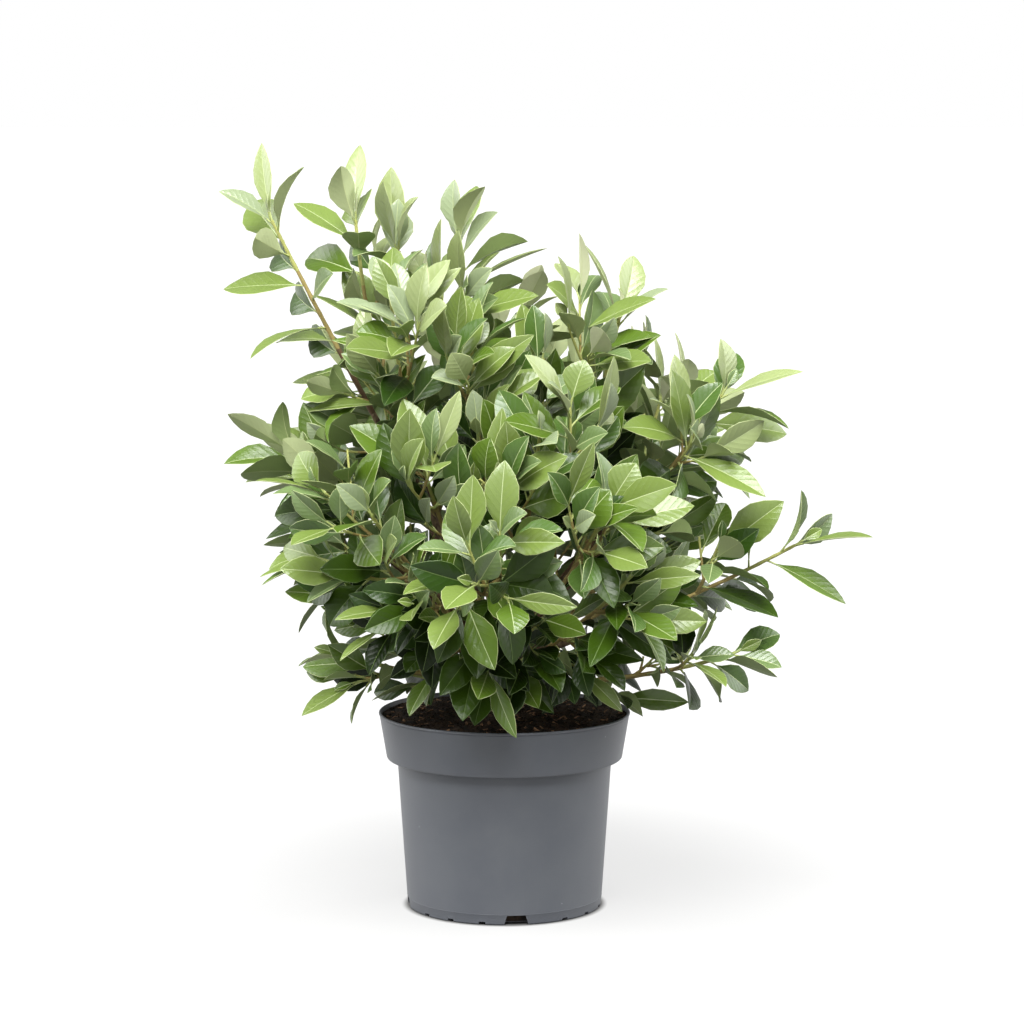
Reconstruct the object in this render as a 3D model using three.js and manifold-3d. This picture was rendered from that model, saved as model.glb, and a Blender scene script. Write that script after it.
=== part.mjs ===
// A young evergreen elaeagnus shrub in a grey plastic nursery pot, in millimetres, +Z up.
// The origin is the middle of the pot's flat underside. The front of the plant faces -Y.
// Azimuths are in degrees, seen from above, from +X (right) towards +Y (back), so the front is 270.
import * as THREE from "three";
import { mergeVertices } from "three/addons/utils/BufferGeometryUtils.js";
import Module from "manifold-3d";

const wasm = await Module();
wasm.setup();

// Clearance between solids that touch, and the finest detail that is kept where leaves and twigs are joined
const GAP = 0.3;
const FINEST = 0.08;

// Pot: a thin moulded wall, a wide collar under the rim, and a foot with drainage notches
const POT = {
  height: 148.4,
  rimRadius: 95,
  lip: 2.1,
  lipHeight: 2.4,
  collarFoot: 113.5,
  collarFootRadius: 89.2,
  neckRadius: 81,
  footRadius: 73.4,
  wall: 1.8,
  floor: 2.4,
  corner: 1.6,
  segments: 32,
};
const NOTCH = {
  quarterAzimuths: [7, 97, 187, 277],
  smallAfter: [31, 50, 70],
  largeWidth: 14,
  largeSplay: 2.5,
  largeHeight: 7.4,
  smallWidth: 4.6,
  smallHeight: 2.4,
  reachIn: 11,
};

// Potting soil, a little mounded and rough on top, with a flat spot where the trunk stands
const SOIL = { edgeBelowRim: 3.2, mound: 4.5, flatRadius: 19, rough: 1.3, segments: 32, rings: 3 };

// Trunk: short, leaning a little, flared at the soil
const TRUNK = {
  topHeight: 224,
  lean: [-6, 4],
  flareRadius: 15,
  flareHeight: 9,
  radius: 10,
  topRadius: 7,
  sides: 8,
  steps: 7,
};

// Limbs, twigs and leaves
const LIMB = { tipRadius: 2.2, sides: 5, steps: 4 };
const TWIG = { sides: 3, leaderSteps: 4, sideSteps: 2, radius: 1.7, tipRadius: 1 };
const LEAF = {
  length: 53,
  width: 24.5,
  widest: 0.42,
  thickness: 1.1,
  stalk: 7,
  rootDepth: 0.2,
  fold: 14,
  droop: 26,
  roll: 42,
  enlarged: 1.15,
  pointed: 1.25,
  spacing: 26,
  strays: 6,
};
const GOLDEN_ANGLE = 137.5;
const TRIES = 9;

// Where a mass has no bough, its first leaves are this share of its leader from the trunk
const LEAF_START = 0.2;

// Every stem runs from the trunk, or from an older stem, to the tip of one mass of foliage. Its first part
// is the bough, and the rest is the leader inside the mass. Where bough is 0 the mass starts at the trunk.
// from, at: where it starts, as a height on the trunk or as a share of the older bough's length
// start: the azimuth at which it leaves the trunk
// azimuth, reach, height: where its tip is
// sweep, sag: how far its middle is moved out below the tip, as a share of its length, and lowered
// bough: the share of it that is bare bough. girth: its radius at the start
// twigs, spread: the side twigs in the mass and their length. leaf: size of its leaves
// gap: how far apart its leaves are, as a share of the usual. turn: the azimuth of its first leaf
const STEM_COLUMNS =
  "name from at start azimuth reach height sweep sag bough girth twigs spread leaf gap turn".split(" ");
const STEMS = [
  ["tall_left", "trunk", 214, 178, 180, 173, 518, 0.02, 3, 0.56, 4.2, 0, 34, 1.12, 1.15, 50],
  ["second_spire", "tall_left", 0.4, 0, 170, 113, 517, 0.4, 0, 0.26, 2.7, 3, 52, 1.15, 1.2, 100],
  ["inner_left", "front_centre_left", 0.42, 0, 216, 102, 462, 0.4, 0, 0.24, 2.8, 4, 56, 1, 1, 92],
  ["third_spire", "trunk", 217, 100, 150, 40, 503, 0.2, 0, 0.34, 4.2, 3, 30, 1.15, 1, 186],
  ["centre_front_high", "front_centre_right", 0.5, 0, 248, 65, 436, 0.3, 0, 0.26, 2.7, 4, 56, 1, 1, 160],
  ["centre_right_high", "right_spire", 0.5, 0, 60, 40, 418, 0.2, 0, 0.24, 2.7, 4, 50, 1, 1, 240],
  ["right_spire", "trunk", 213, 8, 358, 86, 447, 0.25, 0, 0.3, 4, 4, 52, 1.1, 1, 240],
  ["right_upper", "trunk", 200, 338, 352, 163, 390, 0.1, 6, 0.26, 3.8, 4, 35, 1.1, 1, 20],
  ["right_inner", "back_right", 0.45, 0, 18, 124, 378, 0.3, 0, 0.24, 2.7, 4, 56, 1, 1, 320],
  ["right_long", "trunk", 186, 2, 357, 218, 276, 0.05, 5, 0.22, 3.2, 2, 38, 1.1, 1.6, 130],
  ["left_mid", "trunk", 199, 186, 181, 160, 346, 0.1, 4, 0.26, 3.4, 4, 42, 1.05, 1.35, 180],
  ["left_lower", "trunk", 186, 166, 168, 128, 294, 0.1, 0, 0.22, 3, 4, 44, 0.95, 1.25, 106],
  ["front_left", "trunk", 198, 228, 232, 154, 312, 0.15, 0, 0.22, 3.4, 4, 58, 1, 1.15, 140],
  ["front_centre_left", "trunk", 212, 234, 240, 116, 344, 0.2, 0, 0.28, 3.8, 5, 58, 1.05, 1, 180],
  ["front_centre", "trunk", 187, 264, 269, 168, 302, 0.15, 0, 0.2, 3.3, 4, 58, 1.05, 1, 220],
  ["front_centre_right", "trunk", 203, 292, 282, 122, 368, 0.2, 0, 0.28, 3.8, 4, 58, 1.05, 1, 260],
  ["front_right", "trunk", 191, 316, 298, 158, 320, 0.15, 0, 0.22, 3.4, 4, 58, 1, 1, 306],
  ["back_left", "trunk", 199, 132, 130, 156, 372, 0.15, 0, 0.26, 3.6, 4, 62, 1, 0.75, 340],
  ["back_high", "third_spire", 0.45, 0, 84, 96, 408, 0.3, 0, 0.26, 2.8, 4, 60, 1, 0.75, 30],
  ["back_right", "trunk", 197, 52, 48, 156, 322, 0.15, 0, 0.26, 3.6, 4, 58, 1, 0.75, 70],
  ["back_centre", "trunk", 190, 94, 92, 160, 316, 0.15, 0, 0.24, 3.4, 4, 60, 1, 0.7, 110],
  ["right_low", "trunk", 168, 344, 350, 172, 196, 0.15, 4, 0, 2.6, 3, 22, 1, 1.4, 156],
  ["left_low_long", "trunk", 168, 204, 199, 124, 196, 0, 2, 0, 2.5, 3, 34, 0.95, 1.6, 197],
  ["left_low", "trunk", 178, 222, 204, 100, 244, 0.1, 0, 0, 2.6, 4, 48, 0.95, 1.3, 230],
  ["bottom_left", "trunk", 176, 254, 243, 134, 270, 0.1, 0, 0, 2.6, 4, 48, 0.9, 1, 270],
  ["bottom_front", "trunk", 166, 280, 283, 114, 262, 0.1, 0, 0, 2.5, 4, 44, 1, 1.4, 310],
  ["bottom_right", "trunk", 176, 316, 310, 138, 262, 0.1, 0, 0, 2.6, 4, 46, 0.95, 1, 350],
  ["back_low_left", "trunk", 176, 144, 140, 118, 266, 0.1, 0, 0, 2.6, 4, 56, 1, 0.9, 10],
  ["back_low", "trunk", 170, 96, 96, 138, 232, 0.1, 0, 0, 2.5, 4, 54, 1, 0.75, 50],
  ["back_low_right", "trunk", 176, 38, 42, 130, 258, 0.1, 0, 0, 2.6, 4, 56, 1, 0.9, 90],
].map((row) => Object.fromEntries(row.map((value, column) => [STEM_COLUMNS[column], value])));

const COLOURS = {
  pot: { color: 0x63676d, roughness: 0.5 },
  soil: { color: 0x2a1d15, roughness: 1 },
  bark: { color: 0x6b5640, roughness: 0.9 },
  foliage: { color: 0x4f7340, roughness: 0.55 },
};

const radians = THREE.MathUtils.degToRad;
const lerp = THREE.MathUtils.lerp;
const UP = new THREE.Vector3(0, 0, 1);

// A number from 0 to 1 that depends only on its whole-number keys
function chance(...keys) {
  let h = 20011;
  for (const key of keys) h = (h * 16807 + key * 7919 + 101) % 2147483647;
  for (let round = 0; round < 3; round++) h = (h * 48271 + 11) % 2147483647;
  return h / 2147483647;
}

const between = (low, high, ...keys) => lerp(low, high, chance(...keys));

// A point given by azimuth in degrees, distance from the pot's axis, and height
function placed(azimuth, reach, height) {
  const a = radians(azimuth);
  return new THREE.Vector3(reach * Math.cos(a), reach * Math.sin(a), height);
}

// The part of a vector that is square to a unit vector, made one long
function squareTo(vector, unit) {
  return vector.clone().addScaledVector(unit, -vector.dot(unit)).normalize();
}

// Closed three.js geometry to solid, and back
function solidOf(geometry) {
  const bare = geometry.clone();
  for (const name of Object.keys(bare.attributes)) if (name !== "position") bare.deleteAttribute(name);
  const merged = mergeVertices(bare, 1e-4);
  const mesh = new wasm.Mesh({
    numProp: 3,
    vertProperties: new Float32Array(merged.attributes.position.array),
    triVerts: new Uint32Array(merged.index.array),
  });
  return new wasm.Manifold(mesh);
}

function geometryOf(solid) {
  const mesh = solid.getMesh();
  return new THREE.BufferGeometry()
    .setAttribute("position", new THREE.BufferAttribute(new Float32Array(mesh.vertProperties), 3))
    .setIndex(new THREE.BufferAttribute(new Uint32Array(mesh.triVerts), 1));
}

// The largest body of a solid, without loose scraps and with sealed hollows filled
function mainBody(solid) {
  return solid.decompose().reduce((best, body) => (body.volume() > best.volume() ? body : best));
}

// A tapering limb along part of a curve. grow makes it fatter all round.
function limbGeometry(path, fromShare, toShare, radiusAt, sides, steps, grow = 0) {
  const geometry = new THREE.CylinderGeometry(1, 1, 1, sides, steps);
  const position = geometry.attributes.position;
  const ends = path.getPoint(0).sub(path.getPoint(1)).normalize();
  const across = squareTo(Math.abs(ends.z) > 0.9 ? new THREE.Vector3(1, 0, 0) : UP, ends).cross(ends);
  for (let i = 0; i < position.count; i++) {
    const share = lerp(fromShare, toShare, position.getY(i) + 0.5);
    const tangent = path.getTangent(share);
    const side = squareTo(across, tangent);
    const other = tangent.clone().cross(side);
    const radius = radiusAt(share) + grow;
    const point = path
      .getPoint(share)
      .addScaledVector(side, -position.getX(i) * radius)
      .addScaledVector(other, position.getZ(i) * radius);
    position.setXYZ(i, point.x, point.y, point.z);
  }
  return geometry;
}

// Pot
function potProfile() {
  const slope = (POT.neckRadius - POT.footRadius) / POT.collarFoot;
  const innerFoot = POT.footRadius + slope * POT.floor - POT.wall;
  const innerNeck = POT.neckRadius - POT.wall;
  const lipFoot = POT.height - POT.lipHeight;
  return {
    outside: [
      [0, 0],
      [POT.footRadius - POT.corner, 0],
      [POT.footRadius, POT.corner],
      [POT.neckRadius, POT.collarFoot - 1],
      [POT.collarFootRadius - POT.corner, POT.collarFoot],
      [POT.collarFootRadius, POT.collarFoot + POT.corner],
      [POT.rimRadius - 1, lipFoot],
      [POT.rimRadius, lipFoot + 0.6],
      [POT.rimRadius, POT.height],
    ],
    inside: [
      [POT.rimRadius - POT.lip, POT.height],
      [POT.collarFootRadius - POT.wall, POT.collarFoot + POT.wall + POT.corner],
      [innerNeck, POT.collarFoot + POT.wall - 1],
      [innerFoot, POT.floor],
      [0, POT.floor],
    ],
  };
}

function lathe(points, segments) {
  const geometry = new THREE.LatheGeometry(points.map(([r, z]) => new THREE.Vector2(r, z)), segments);
  return geometry.rotateX(Math.PI / 2);
}

function notchCutter(width, splay, height, azimuth) {
  const outline = new THREE.Shape()
    .moveTo(-width / 2 - splay, -1)
    .lineTo(width / 2 + splay, -1)
    .lineTo(width / 2, height)
    .lineTo(-width / 2, height);
  const depth = NOTCH.reachIn + 10;
  return new THREE.ExtrudeGeometry(outline, { depth, bevelEnabled: false })
    .rotateX(Math.PI / 2)
    .translate(0, POT.footRadius + 10, 0)
    .rotateZ(radians(azimuth - 90));
}

function potSolid() {
  const { outside, inside } = potProfile();
  let pot = solidOf(lathe([...outside, ...inside], POT.segments));
  for (const azimuth of NOTCH.quarterAzimuths) {
    const large = notchCutter(NOTCH.largeWidth, NOTCH.largeSplay, NOTCH.largeHeight, azimuth);
    pot = pot.subtract(solidOf(large));
    for (const after of NOTCH.smallAfter) {
      pot = pot.subtract(solidOf(notchCutter(NOTCH.smallWidth, 0, NOTCH.smallHeight, azimuth + after)));
    }
  }
  return pot;
}

// Soil: fills the pot to just under the rim
const soilEdge = POT.height - SOIL.edgeBelowRim;
const soilTop = soilEdge + SOIL.mound;

function soilGeometry() {
  const [, collar, neck, foot] = potProfile().inside;
  const rimSlope = (POT.rimRadius - POT.lip - collar[0]) / (POT.height - collar[1]);
  const edgeRadius = collar[0] + rimSlope * (soilEdge - collar[1]) - 2 * GAP;
  const points = [
    [0, foot[1] + GAP],
    [foot[0] - GAP, foot[1] + GAP],
    [neck[0] - GAP, neck[1] + GAP],
    [collar[0] - GAP, collar[1] + GAP],
    [edgeRadius, soilEdge],
  ];
  for (let ring = 1; ring <= SOIL.rings; ring++) {
    const radius = lerp(edgeRadius, SOIL.flatRadius, ring / SOIL.rings);
    points.push([radius, lerp(soilEdge, soilTop, Math.sin((ring / SOIL.rings) * (Math.PI / 2)))]);
  }
  points.push([0, soilTop]);
  const geometry = lathe(points, SOIL.segments);
  const position = geometry.attributes.position;
  for (let i = 0; i < position.count; i++) {
    const row = i % points.length;
    const turn = Math.floor(i / points.length) % SOIL.segments;
    if (row < 4 || row > 3 + SOIL.rings) continue;
    const inner = row > 4 ? 1 : 0.4;
    position.setZ(i, position.getZ(i) + SOIL.rough * inner * between(-1, 1, row, turn));
  }
  return geometry;
}

// Trunk
const trunkFoot = soilTop + GAP;
const trunkPath = new THREE.LineCurve3(
  new THREE.Vector3(0, 0, trunkFoot),
  new THREE.Vector3(TRUNK.lean[0], TRUNK.lean[1], TRUNK.topHeight),
);

function trunkRadius(share) {
  const above = share * (TRUNK.topHeight - trunkFoot);
  const flare = (TRUNK.flareRadius - TRUNK.radius) * Math.exp(-above / TRUNK.flareHeight);
  return lerp(TRUNK.radius, TRUNK.topRadius, share) + flare;
}

function trunkSolid(grow = 0) {
  const trunk = solidOf(limbGeometry(trunkPath, 0, 1, trunkRadius, TRUNK.sides, TRUNK.steps, grow));
  return grow ? trunk : trunk.trimByPlane([0, 0, 1], trunkFoot);
}

// Stems: each is one smooth curve, thick at its start and thin at its tip
function makeStem(row, index, stems) {
  const tip = placed(row.azimuth, row.reach, row.height);
  let foot;
  if (row.from === "trunk") {
    const share = (row.at - trunkFoot) / (TRUNK.topHeight - trunkFoot);
    foot = trunkPath.getPoint(share).add(placed(row.start, trunkRadius(share) * 0.5, 0));
  } else {
    const older = stems.get(row.from);
    foot = older.path.getPoint(row.at * older.bough);
  }
  const bend = foot.clone().lerp(tip, 0.45);
  bend.x += (tip.x - foot.x) * row.sweep;
  bend.y += (tip.y - foot.y) * row.sweep;
  bend.z -= 2 * row.sag;
  const path = new THREE.QuadraticBezierCurve3(foot, bend, tip);
  const joint = row.bough ? LIMB.tipRadius : row.girth;
  const radiusAt = (share) =>
    share < row.bough
      ? lerp(row.girth, LIMB.tipRadius, share / row.bough)
      : lerp(joint - 0.1, TWIG.tipRadius + 0.2, (share - row.bough) / (1 - row.bough));
  return { ...row, index, path, radiusAt, length: path.getLength() };
}

const stems = new Map();
const waiting = STEMS.map((row, index) => [row, index]);
while (waiting.length) {
  const [row, index] = waiting.shift();
  if (row.from === "trunk" || stems.has(row.from)) stems.set(row.name, makeStem(row, index, stems));
  else waiting.push([row, index]);
}

// What a stem starts on, GAP larger all round, so that it can be cut back to clear it
function parentSolid(stem) {
  if (stem.from === "trunk") return trunkSolid(GAP);
  const { path, bough, radiusAt } = stems.get(stem.from);
  return solidOf(limbGeometry(path, 0, bough, radiusAt, LIMB.sides, LIMB.steps, GAP));
}

function boughSolid(stem) {
  const bough = solidOf(limbGeometry(stem.path, 0, stem.bough, stem.radiusAt, LIMB.sides, LIMB.steps));
  return mainBody(bough.subtract(parentSolid(stem)));
}

// Space: a point belongs to the mass whose leader is nearest
function distanceToSegment(point, a, b) {
  const along = b.clone().sub(a);
  const share = THREE.MathUtils.clamp(point.clone().sub(a).dot(along) / along.lengthSq(), 0, 1);
  return point.distanceTo(a.clone().addScaledVector(along, share));
}

function chain(path, fromShare, toShare, count) {
  return Array.from({ length: count + 1 }, (_, i) => path.getPoint(lerp(fromShare, toShare, i / count)));
}

function distanceToChain(point, points) {
  let least = Infinity;
  for (let i = 1; i < points.length; i++) {
    least = Math.min(least, distanceToSegment(point, points[i - 1], points[i]));
  }
  return least;
}

const leaderChains = [...stems.values()].map((stem) => {
  return [stem.name, chain(stem.path, Math.max(stem.bough, LEAF_START), 1, 3)];
});

function inOwnSpace(point, name, margin) {
  const own = distanceToChain(point, leaderChains.find(([other]) => other === name)[1]);
  const others = leaderChains.filter(([other]) => other !== name);
  return others.every(([, points]) => own + margin < distanceToChain(point, points));
}

function clearOfPot(point, margin) {
  const r = Math.hypot(point.x, point.y);
  return r < POT.rimRadius + margin ? point.z > soilTop + SOIL.rough + margin : point.z > 0;
}

function fits(points, name, margin) {
  return points.every((point) => clearOfPot(point, 1) && inOwnSpace(point, name, margin));
}

// Every solid so far, with the node that it belongs to and its box
const kept = [];

function keep(node, solid) {
  kept.push({ node, solid, box: solid.boundingBox() });
}

function touches(solid, amongNodes) {
  const { min, max } = solid.boundingBox();
  const near = (box) => [0, 1, 2].every((k) => box.min[k] < max[k] && box.max[k] > min[k]);
  return kept.some(
    (other) => amongNodes(other.node) && near(other.box) && !other.solid.intersect(solid).isEmpty(),
  );
}

// The leader of a mass begins just clear of its bough's tip, or of the trunk
function leaderSolid(stem) {
  const begin = stem.bough ? stem.bough + GAP / stem.length : 0;
  const leader = solidOf(limbGeometry(stem.path, begin, 1, stem.radiusAt, TWIG.sides, TWIG.leaderSteps));
  return stem.bough ? leader : mainBody(leader.subtract(parentSolid(stem)));
}

// Side twigs leave the leader by the golden angle
function growShoots(stem) {
  const node = `mass_${stem.name}`;
  const begin = Math.max(stem.bough, LEAF_START);
  const shoots = [{ path: stem.path, from: begin, leader: true, number: 0 }];
  const leaderLength = stem.length * (1 - begin);
  for (let k = 1; k <= stem.twigs; k++) {
    const share = lerp(begin, 1, lerp(0.04, 0.74, (k - 0.5) / stem.twigs));
    const start = stem.path.getPoint(share);
    const tangent = stem.path.getTangent(share);
    const side = squareTo(UP, tangent);
    const reach = Math.min(stem.spread, leaderLength) * between(0.85, 1.15, stem.index, k, 1);
    for (let attempt = 0; attempt < TRIES; attempt++) {
      const turn = radians(k * GOLDEN_ANGLE + 360 * chance(stem.index, 7) + attempt * 51);
      const open = radians(between(36, 52, stem.index, k, 2));
      const outward = side.clone().applyAxisAngle(tangent, turn);
      const heading = tangent.clone().multiplyScalar(Math.cos(open));
      heading.addScaledVector(outward, Math.sin(open));
      const length = reach * (attempt < 4 ? 1 : 0.7);
      const middle = start.clone().addScaledVector(heading, length * 0.5);
      const end = middle.clone().addScaledVector(heading, length * 0.5).addScaledVector(UP, length * 0.2);
      if (!fits([middle, end], stem.name, 4)) continue;
      const path = new THREE.QuadraticBezierCurve3(start, middle, end);
      const radiusAt = (s) => lerp(TWIG.radius, TWIG.tipRadius, s);
      const solid = solidOf(limbGeometry(path, 0, 1, radiusAt, TWIG.sides, TWIG.sideSteps));
      if (touches(solid, (other) => other !== node)) continue;
      keep(node, solid);
      shoots.push({ path, from: 0, leader: false, number: k });
      break;
    }
  }
  return shoots;
}

// Leaves: counted from a shoot's tip down, each a golden angle on, larger and more spread with age
function leafFrame(stem, shoot, count, down, attempt) {
  const keys = [stem.index, shoot.number, count];
  const share = Math.max(shoot.from, 1 - down / shoot.path.getLength());
  const foot = shoot.path.getPoint(share);
  const tangent = shoot.path.getTangent(share);
  const side = squareTo(UP, tangent);
  const turn = radians(stem.turn + shoot.number * 77 + count * GOLDEN_ANGLE + attempt * 47);
  const open = radians(Math.min(16 + 11 * count, 62) + between(-8, 8, ...keys, 4));
  const outward = side.clone().applyAxisAngle(tangent, turn);
  const along = tangent.clone().multiplyScalar(Math.cos(open)).addScaledVector(outward, Math.sin(open));
  const sunward = new THREE.Vector3(foot.x, foot.y, 0).normalize();
  const face = squareTo(tangent.clone().addScaledVector(UP, 0.4).addScaledVector(sunward, 0.8), along);
  face.applyAxisAngle(along, radians(between(-LEAF.roll, LEAF.roll, ...keys, 12)));
  const size = stem.leaf * LEAF.enlarged * Math.min(1, 0.84 + 0.06 * count);
  return {
    foot,
    along,
    face,
    length: LEAF.length * size * between(0.82, 1.12, ...keys, 5),
    width: LEAF.width * LEAF.pointed * size * between(0.85, 1.2, ...keys, 6),
    droop: radians(LEAF.droop * between(0.3, 1.6, ...keys, 8)),
    fold: radians(LEAF.fold * between(0.5, 1.4, ...keys, 9)),
  };
}

// A point on a leaf: along its arched midrib, then out to one side, where the blade is folded up a little
function leafPoint(leaf, distance, outward, lift = 0) {
  const bend = (leaf.droop * distance) / (leaf.length + LEAF.stalk);
  const radius = (leaf.length + LEAF.stalk) / leaf.droop;
  const across = leaf.along.clone().cross(leaf.face);
  const face = leaf.face.clone().multiplyScalar(Math.cos(bend)).addScaledVector(leaf.along, Math.sin(bend));
  return leaf.foot
    .clone()
    .addScaledVector(leaf.along, radius * Math.sin(bend))
    .addScaledVector(leaf.face, -radius * (1 - Math.cos(bend)))
    .addScaledVector(across, outward * Math.cos(leaf.fold))
    .addScaledVector(face, Math.abs(outward) * Math.sin(leaf.fold) + lift);
}

// The widest points of a leaf, left and right, and its tip
function leafOutline(leaf) {
  const widest = LEAF.stalk + leaf.length * LEAF.widest;
  return [
    leafPoint(leaf, widest, -leaf.width / 2),
    leafPoint(leaf, LEAF.stalk + leaf.length, 0),
    leafPoint(leaf, widest, leaf.width / 2),
  ];
}

// Leaves from every shoot of a mass, tried at several turns until the blade is free of all that is there
function growLeaves(stem, shoots) {
  const node = `mass_${stem.name}`;
  for (const shoot of [...shoots].reverse()) {
    const shootLength = shoot.path.getLength() * (1 - shoot.from);
    let down = 0.5;
    for (let count = 0; down < shootLength * (shoot.leader ? 0.97 : 0.62); count++) {
      for (let attempt = 0; attempt < TRIES; attempt++) {
        const leaf = leafFrame(stem, shoot, count, down, attempt);
        const midrib = leafPoint(leaf, LEAF.stalk + leaf.length * 0.6, 0);
        if (!fits([...leafOutline(leaf), midrib], stem.name, -LEAF.strays)) continue;
        const solid = leafSolid(leaf);
        if (touches(leafSolid(leaf, LEAF.stalk), (other) => other === node)) continue;
        if (touches(solid, (other) => other !== node)) continue;
        keep(node, solid);
        break;
      }
      down += Math.min(LEAF.spacing, 6 + 5 * count) * stem.gap;
    }
  }
}

// A leaf solid of eight faces: its outline, the middle of its midrib above and below, and its root
function leafSolid(leaf, rootAt = -LEAF.rootDepth) {
  const middle = LEAF.stalk + leaf.length * (LEAF.widest - 0.03);
  const points = [
    leafPoint(leaf, rootAt, 0),
    ...leafOutline(leaf),
    leafPoint(leaf, middle, 0, LEAF.thickness / 2),
    leafPoint(leaf, middle, 0, -LEAF.thickness / 2),
  ];
  const [root, left, tip, right, top, under] = [0, 1, 2, 3, 4, 5];
  const index = [];
  for (const [from, to] of [[root, left], [left, tip], [tip, right], [right, root]]) {
    index.push(top, to, from, under, from, to);
  }
  const geometry = new THREE.BufferGeometry()
    .setAttribute("position", new THREE.Float32BufferAttribute(points.flatMap((p) => p.toArray()), 3))
    .setIndex(index);
  return solidOf(geometry);
}

// The plant in its pot
const plant = new THREE.Group();

function addNode(name, solid, look) {
  const material = new THREE.MeshStandardMaterial({ ...COLOURS[look], metalness: 0 });
  const mesh = new THREE.Mesh(geometryOf(solid), material);
  mesh.name = name;
  plant.add(mesh);
}

keep("pot", potSolid());
keep("soil", solidOf(soilGeometry()));
keep("trunk", trunkSolid());
for (const stem of stems.values()) if (stem.bough) keep(`bough_${stem.name}`, boughSolid(stem));
for (const stem of stems.values()) keep(`mass_${stem.name}`, leaderSolid(stem));
const shootsOf = new Map([...stems.values()].map((stem) => [stem, growShoots(stem)]));
for (const [stem, shoots] of shootsOf) growLeaves(stem, shoots);

const built = {};
for (const { node } of kept) {
  if (node in built) continue;
  const solids = kept.filter((piece) => piece.node === node).map((piece) => piece.solid);
  const joined = () => wasm.Manifold.union(solids).asOriginal().simplify(FINEST);
  built[node] = solids.length === 1 ? solids[0] : mainBody(joined());
}

const looks = { pot: "pot", soil: "soil", trunk: "bark", bough: "bark", mass: "foliage" };
for (const [name, solid] of Object.entries(built)) addNode(name, solid, looks[name.split("_")[0]]);

export default plant;
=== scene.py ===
import math
from collections import defaultdict, namedtuple

import bpy
import numpy as np
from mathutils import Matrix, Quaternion, Vector, noise
from mathutils.bvhtree import BVHTree


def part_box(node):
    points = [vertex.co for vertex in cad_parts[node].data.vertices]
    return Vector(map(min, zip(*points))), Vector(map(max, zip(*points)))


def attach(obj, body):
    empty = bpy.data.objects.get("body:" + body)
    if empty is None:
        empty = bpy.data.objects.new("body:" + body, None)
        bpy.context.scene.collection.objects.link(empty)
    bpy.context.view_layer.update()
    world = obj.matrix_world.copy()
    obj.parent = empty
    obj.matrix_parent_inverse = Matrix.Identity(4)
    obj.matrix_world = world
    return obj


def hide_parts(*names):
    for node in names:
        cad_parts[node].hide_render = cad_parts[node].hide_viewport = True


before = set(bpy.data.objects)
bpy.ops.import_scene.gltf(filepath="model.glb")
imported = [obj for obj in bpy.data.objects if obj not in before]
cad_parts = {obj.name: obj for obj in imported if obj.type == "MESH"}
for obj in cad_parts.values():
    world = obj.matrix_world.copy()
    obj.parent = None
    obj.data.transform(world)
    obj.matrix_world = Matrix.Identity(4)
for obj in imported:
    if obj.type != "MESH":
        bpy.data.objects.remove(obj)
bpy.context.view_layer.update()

# Pot: a grower's pot of thin grey polypropylene, injection moulded in one piece, with a wide collar under
# the rim for stacking, a bead round its mouth, and drainage notches cut up into the foot.
MM = 0.001
pot_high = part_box("pot")[1]
POT_HEIGHT = pot_high.z
RIM_RADIUS = pot_high.x
BEAD_RADIUS = 1.1 * MM
BEAD_GROOVE = 0.4 * MM
COLLAR_FOOT = 113.5 * MM
COLLAR_RADIUS = 89.2 * MM
COLLAR_ROUND = 1.5 * MM
NECK_RADIUS = 81 * MM
FOOT_RADIUS = 73.4 * MM
FOOT_ROUND = 1.4 * MM
FOOT_LINE_HEIGHT = 8 * MM
FOOT_LINE = 0.1 * MM
WALL = 1.8 * MM
FLOOR = 2.4 * MM
NECK_CHAMFER = 0.6 * MM
WALL_SLOPE = (NECK_RADIUS - FOOT_RADIUS) / COLLAR_FOOT
INNER_FOOT_RADIUS = FOOT_RADIUS + WALL_SLOPE * FLOOR - WALL
POT_SEGMENTS = 192
POT_CREASE = 34
QUARTER_AZIMUTHS = (7, 97, 187, 277)
SMALL_NOTCHES_AFTER = (31, 50, 70)
LARGE_NOTCH = {"width": 14 * MM, "splay": 2.5 * MM, "height": 7.4 * MM}
SMALL_NOTCH = {"width": 4.8 * MM, "splay": 0.6 * MM, "height": 2.4 * MM}
NOTCH_DEPTH = 11 * MM
POT_GREY = (73, 76, 82)
POT_GREY_WORN = (78, 81, 86)
SPECK_GREY = (150, 152, 157)
SPECK_SCALE = 38.0
SPECK_EDGE = (0.012, 0.024)
POT_ROUGHNESS, POT_SMOOTHEST, POT_ROUGHEST = 0.42, 0.36, 0.54
POT_GRAIN = {"cloud_scale": 26.0, "grain_scale": 1400.0, "grain_depth": 0.00006}


def linear(display):
    """A scene-linear colour from display values of 0 to 255."""
    parts = [value / 255 for value in display]
    parts = [p / 12.92 if p <= 0.04045 else ((p + 0.055) / 1.055) ** 2.4 for p in parts]
    return (*parts, 1.0)


def mesh_piece(name, points, faces, materials, slots=None):
    """A smooth piece made from points and faces. slots gives each face's material."""
    mesh = bpy.data.meshes.new(name)
    mesh.from_pydata([tuple(p) for p in points], [], faces)
    for material in materials:
        mesh.materials.append(material)
    if slots is not None:
        mesh.polygons.foreach_set("material_index", slots)
    mesh.polygons.foreach_set("use_smooth", [True] * len(mesh.polygons))
    mesh.update()
    piece = bpy.data.objects.new(name, mesh)
    bpy.context.scene.collection.objects.link(piece)
    return piece


def settle(piece):
    """Turns what a piece's modifiers make into its plain mesh."""
    graph = bpy.context.evaluated_depsgraph_get()
    made = bpy.data.meshes.new_from_object(piece.evaluated_get(graph), depsgraph=graph)
    piece.modifiers.clear()
    piece.data = made
    return piece


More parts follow.
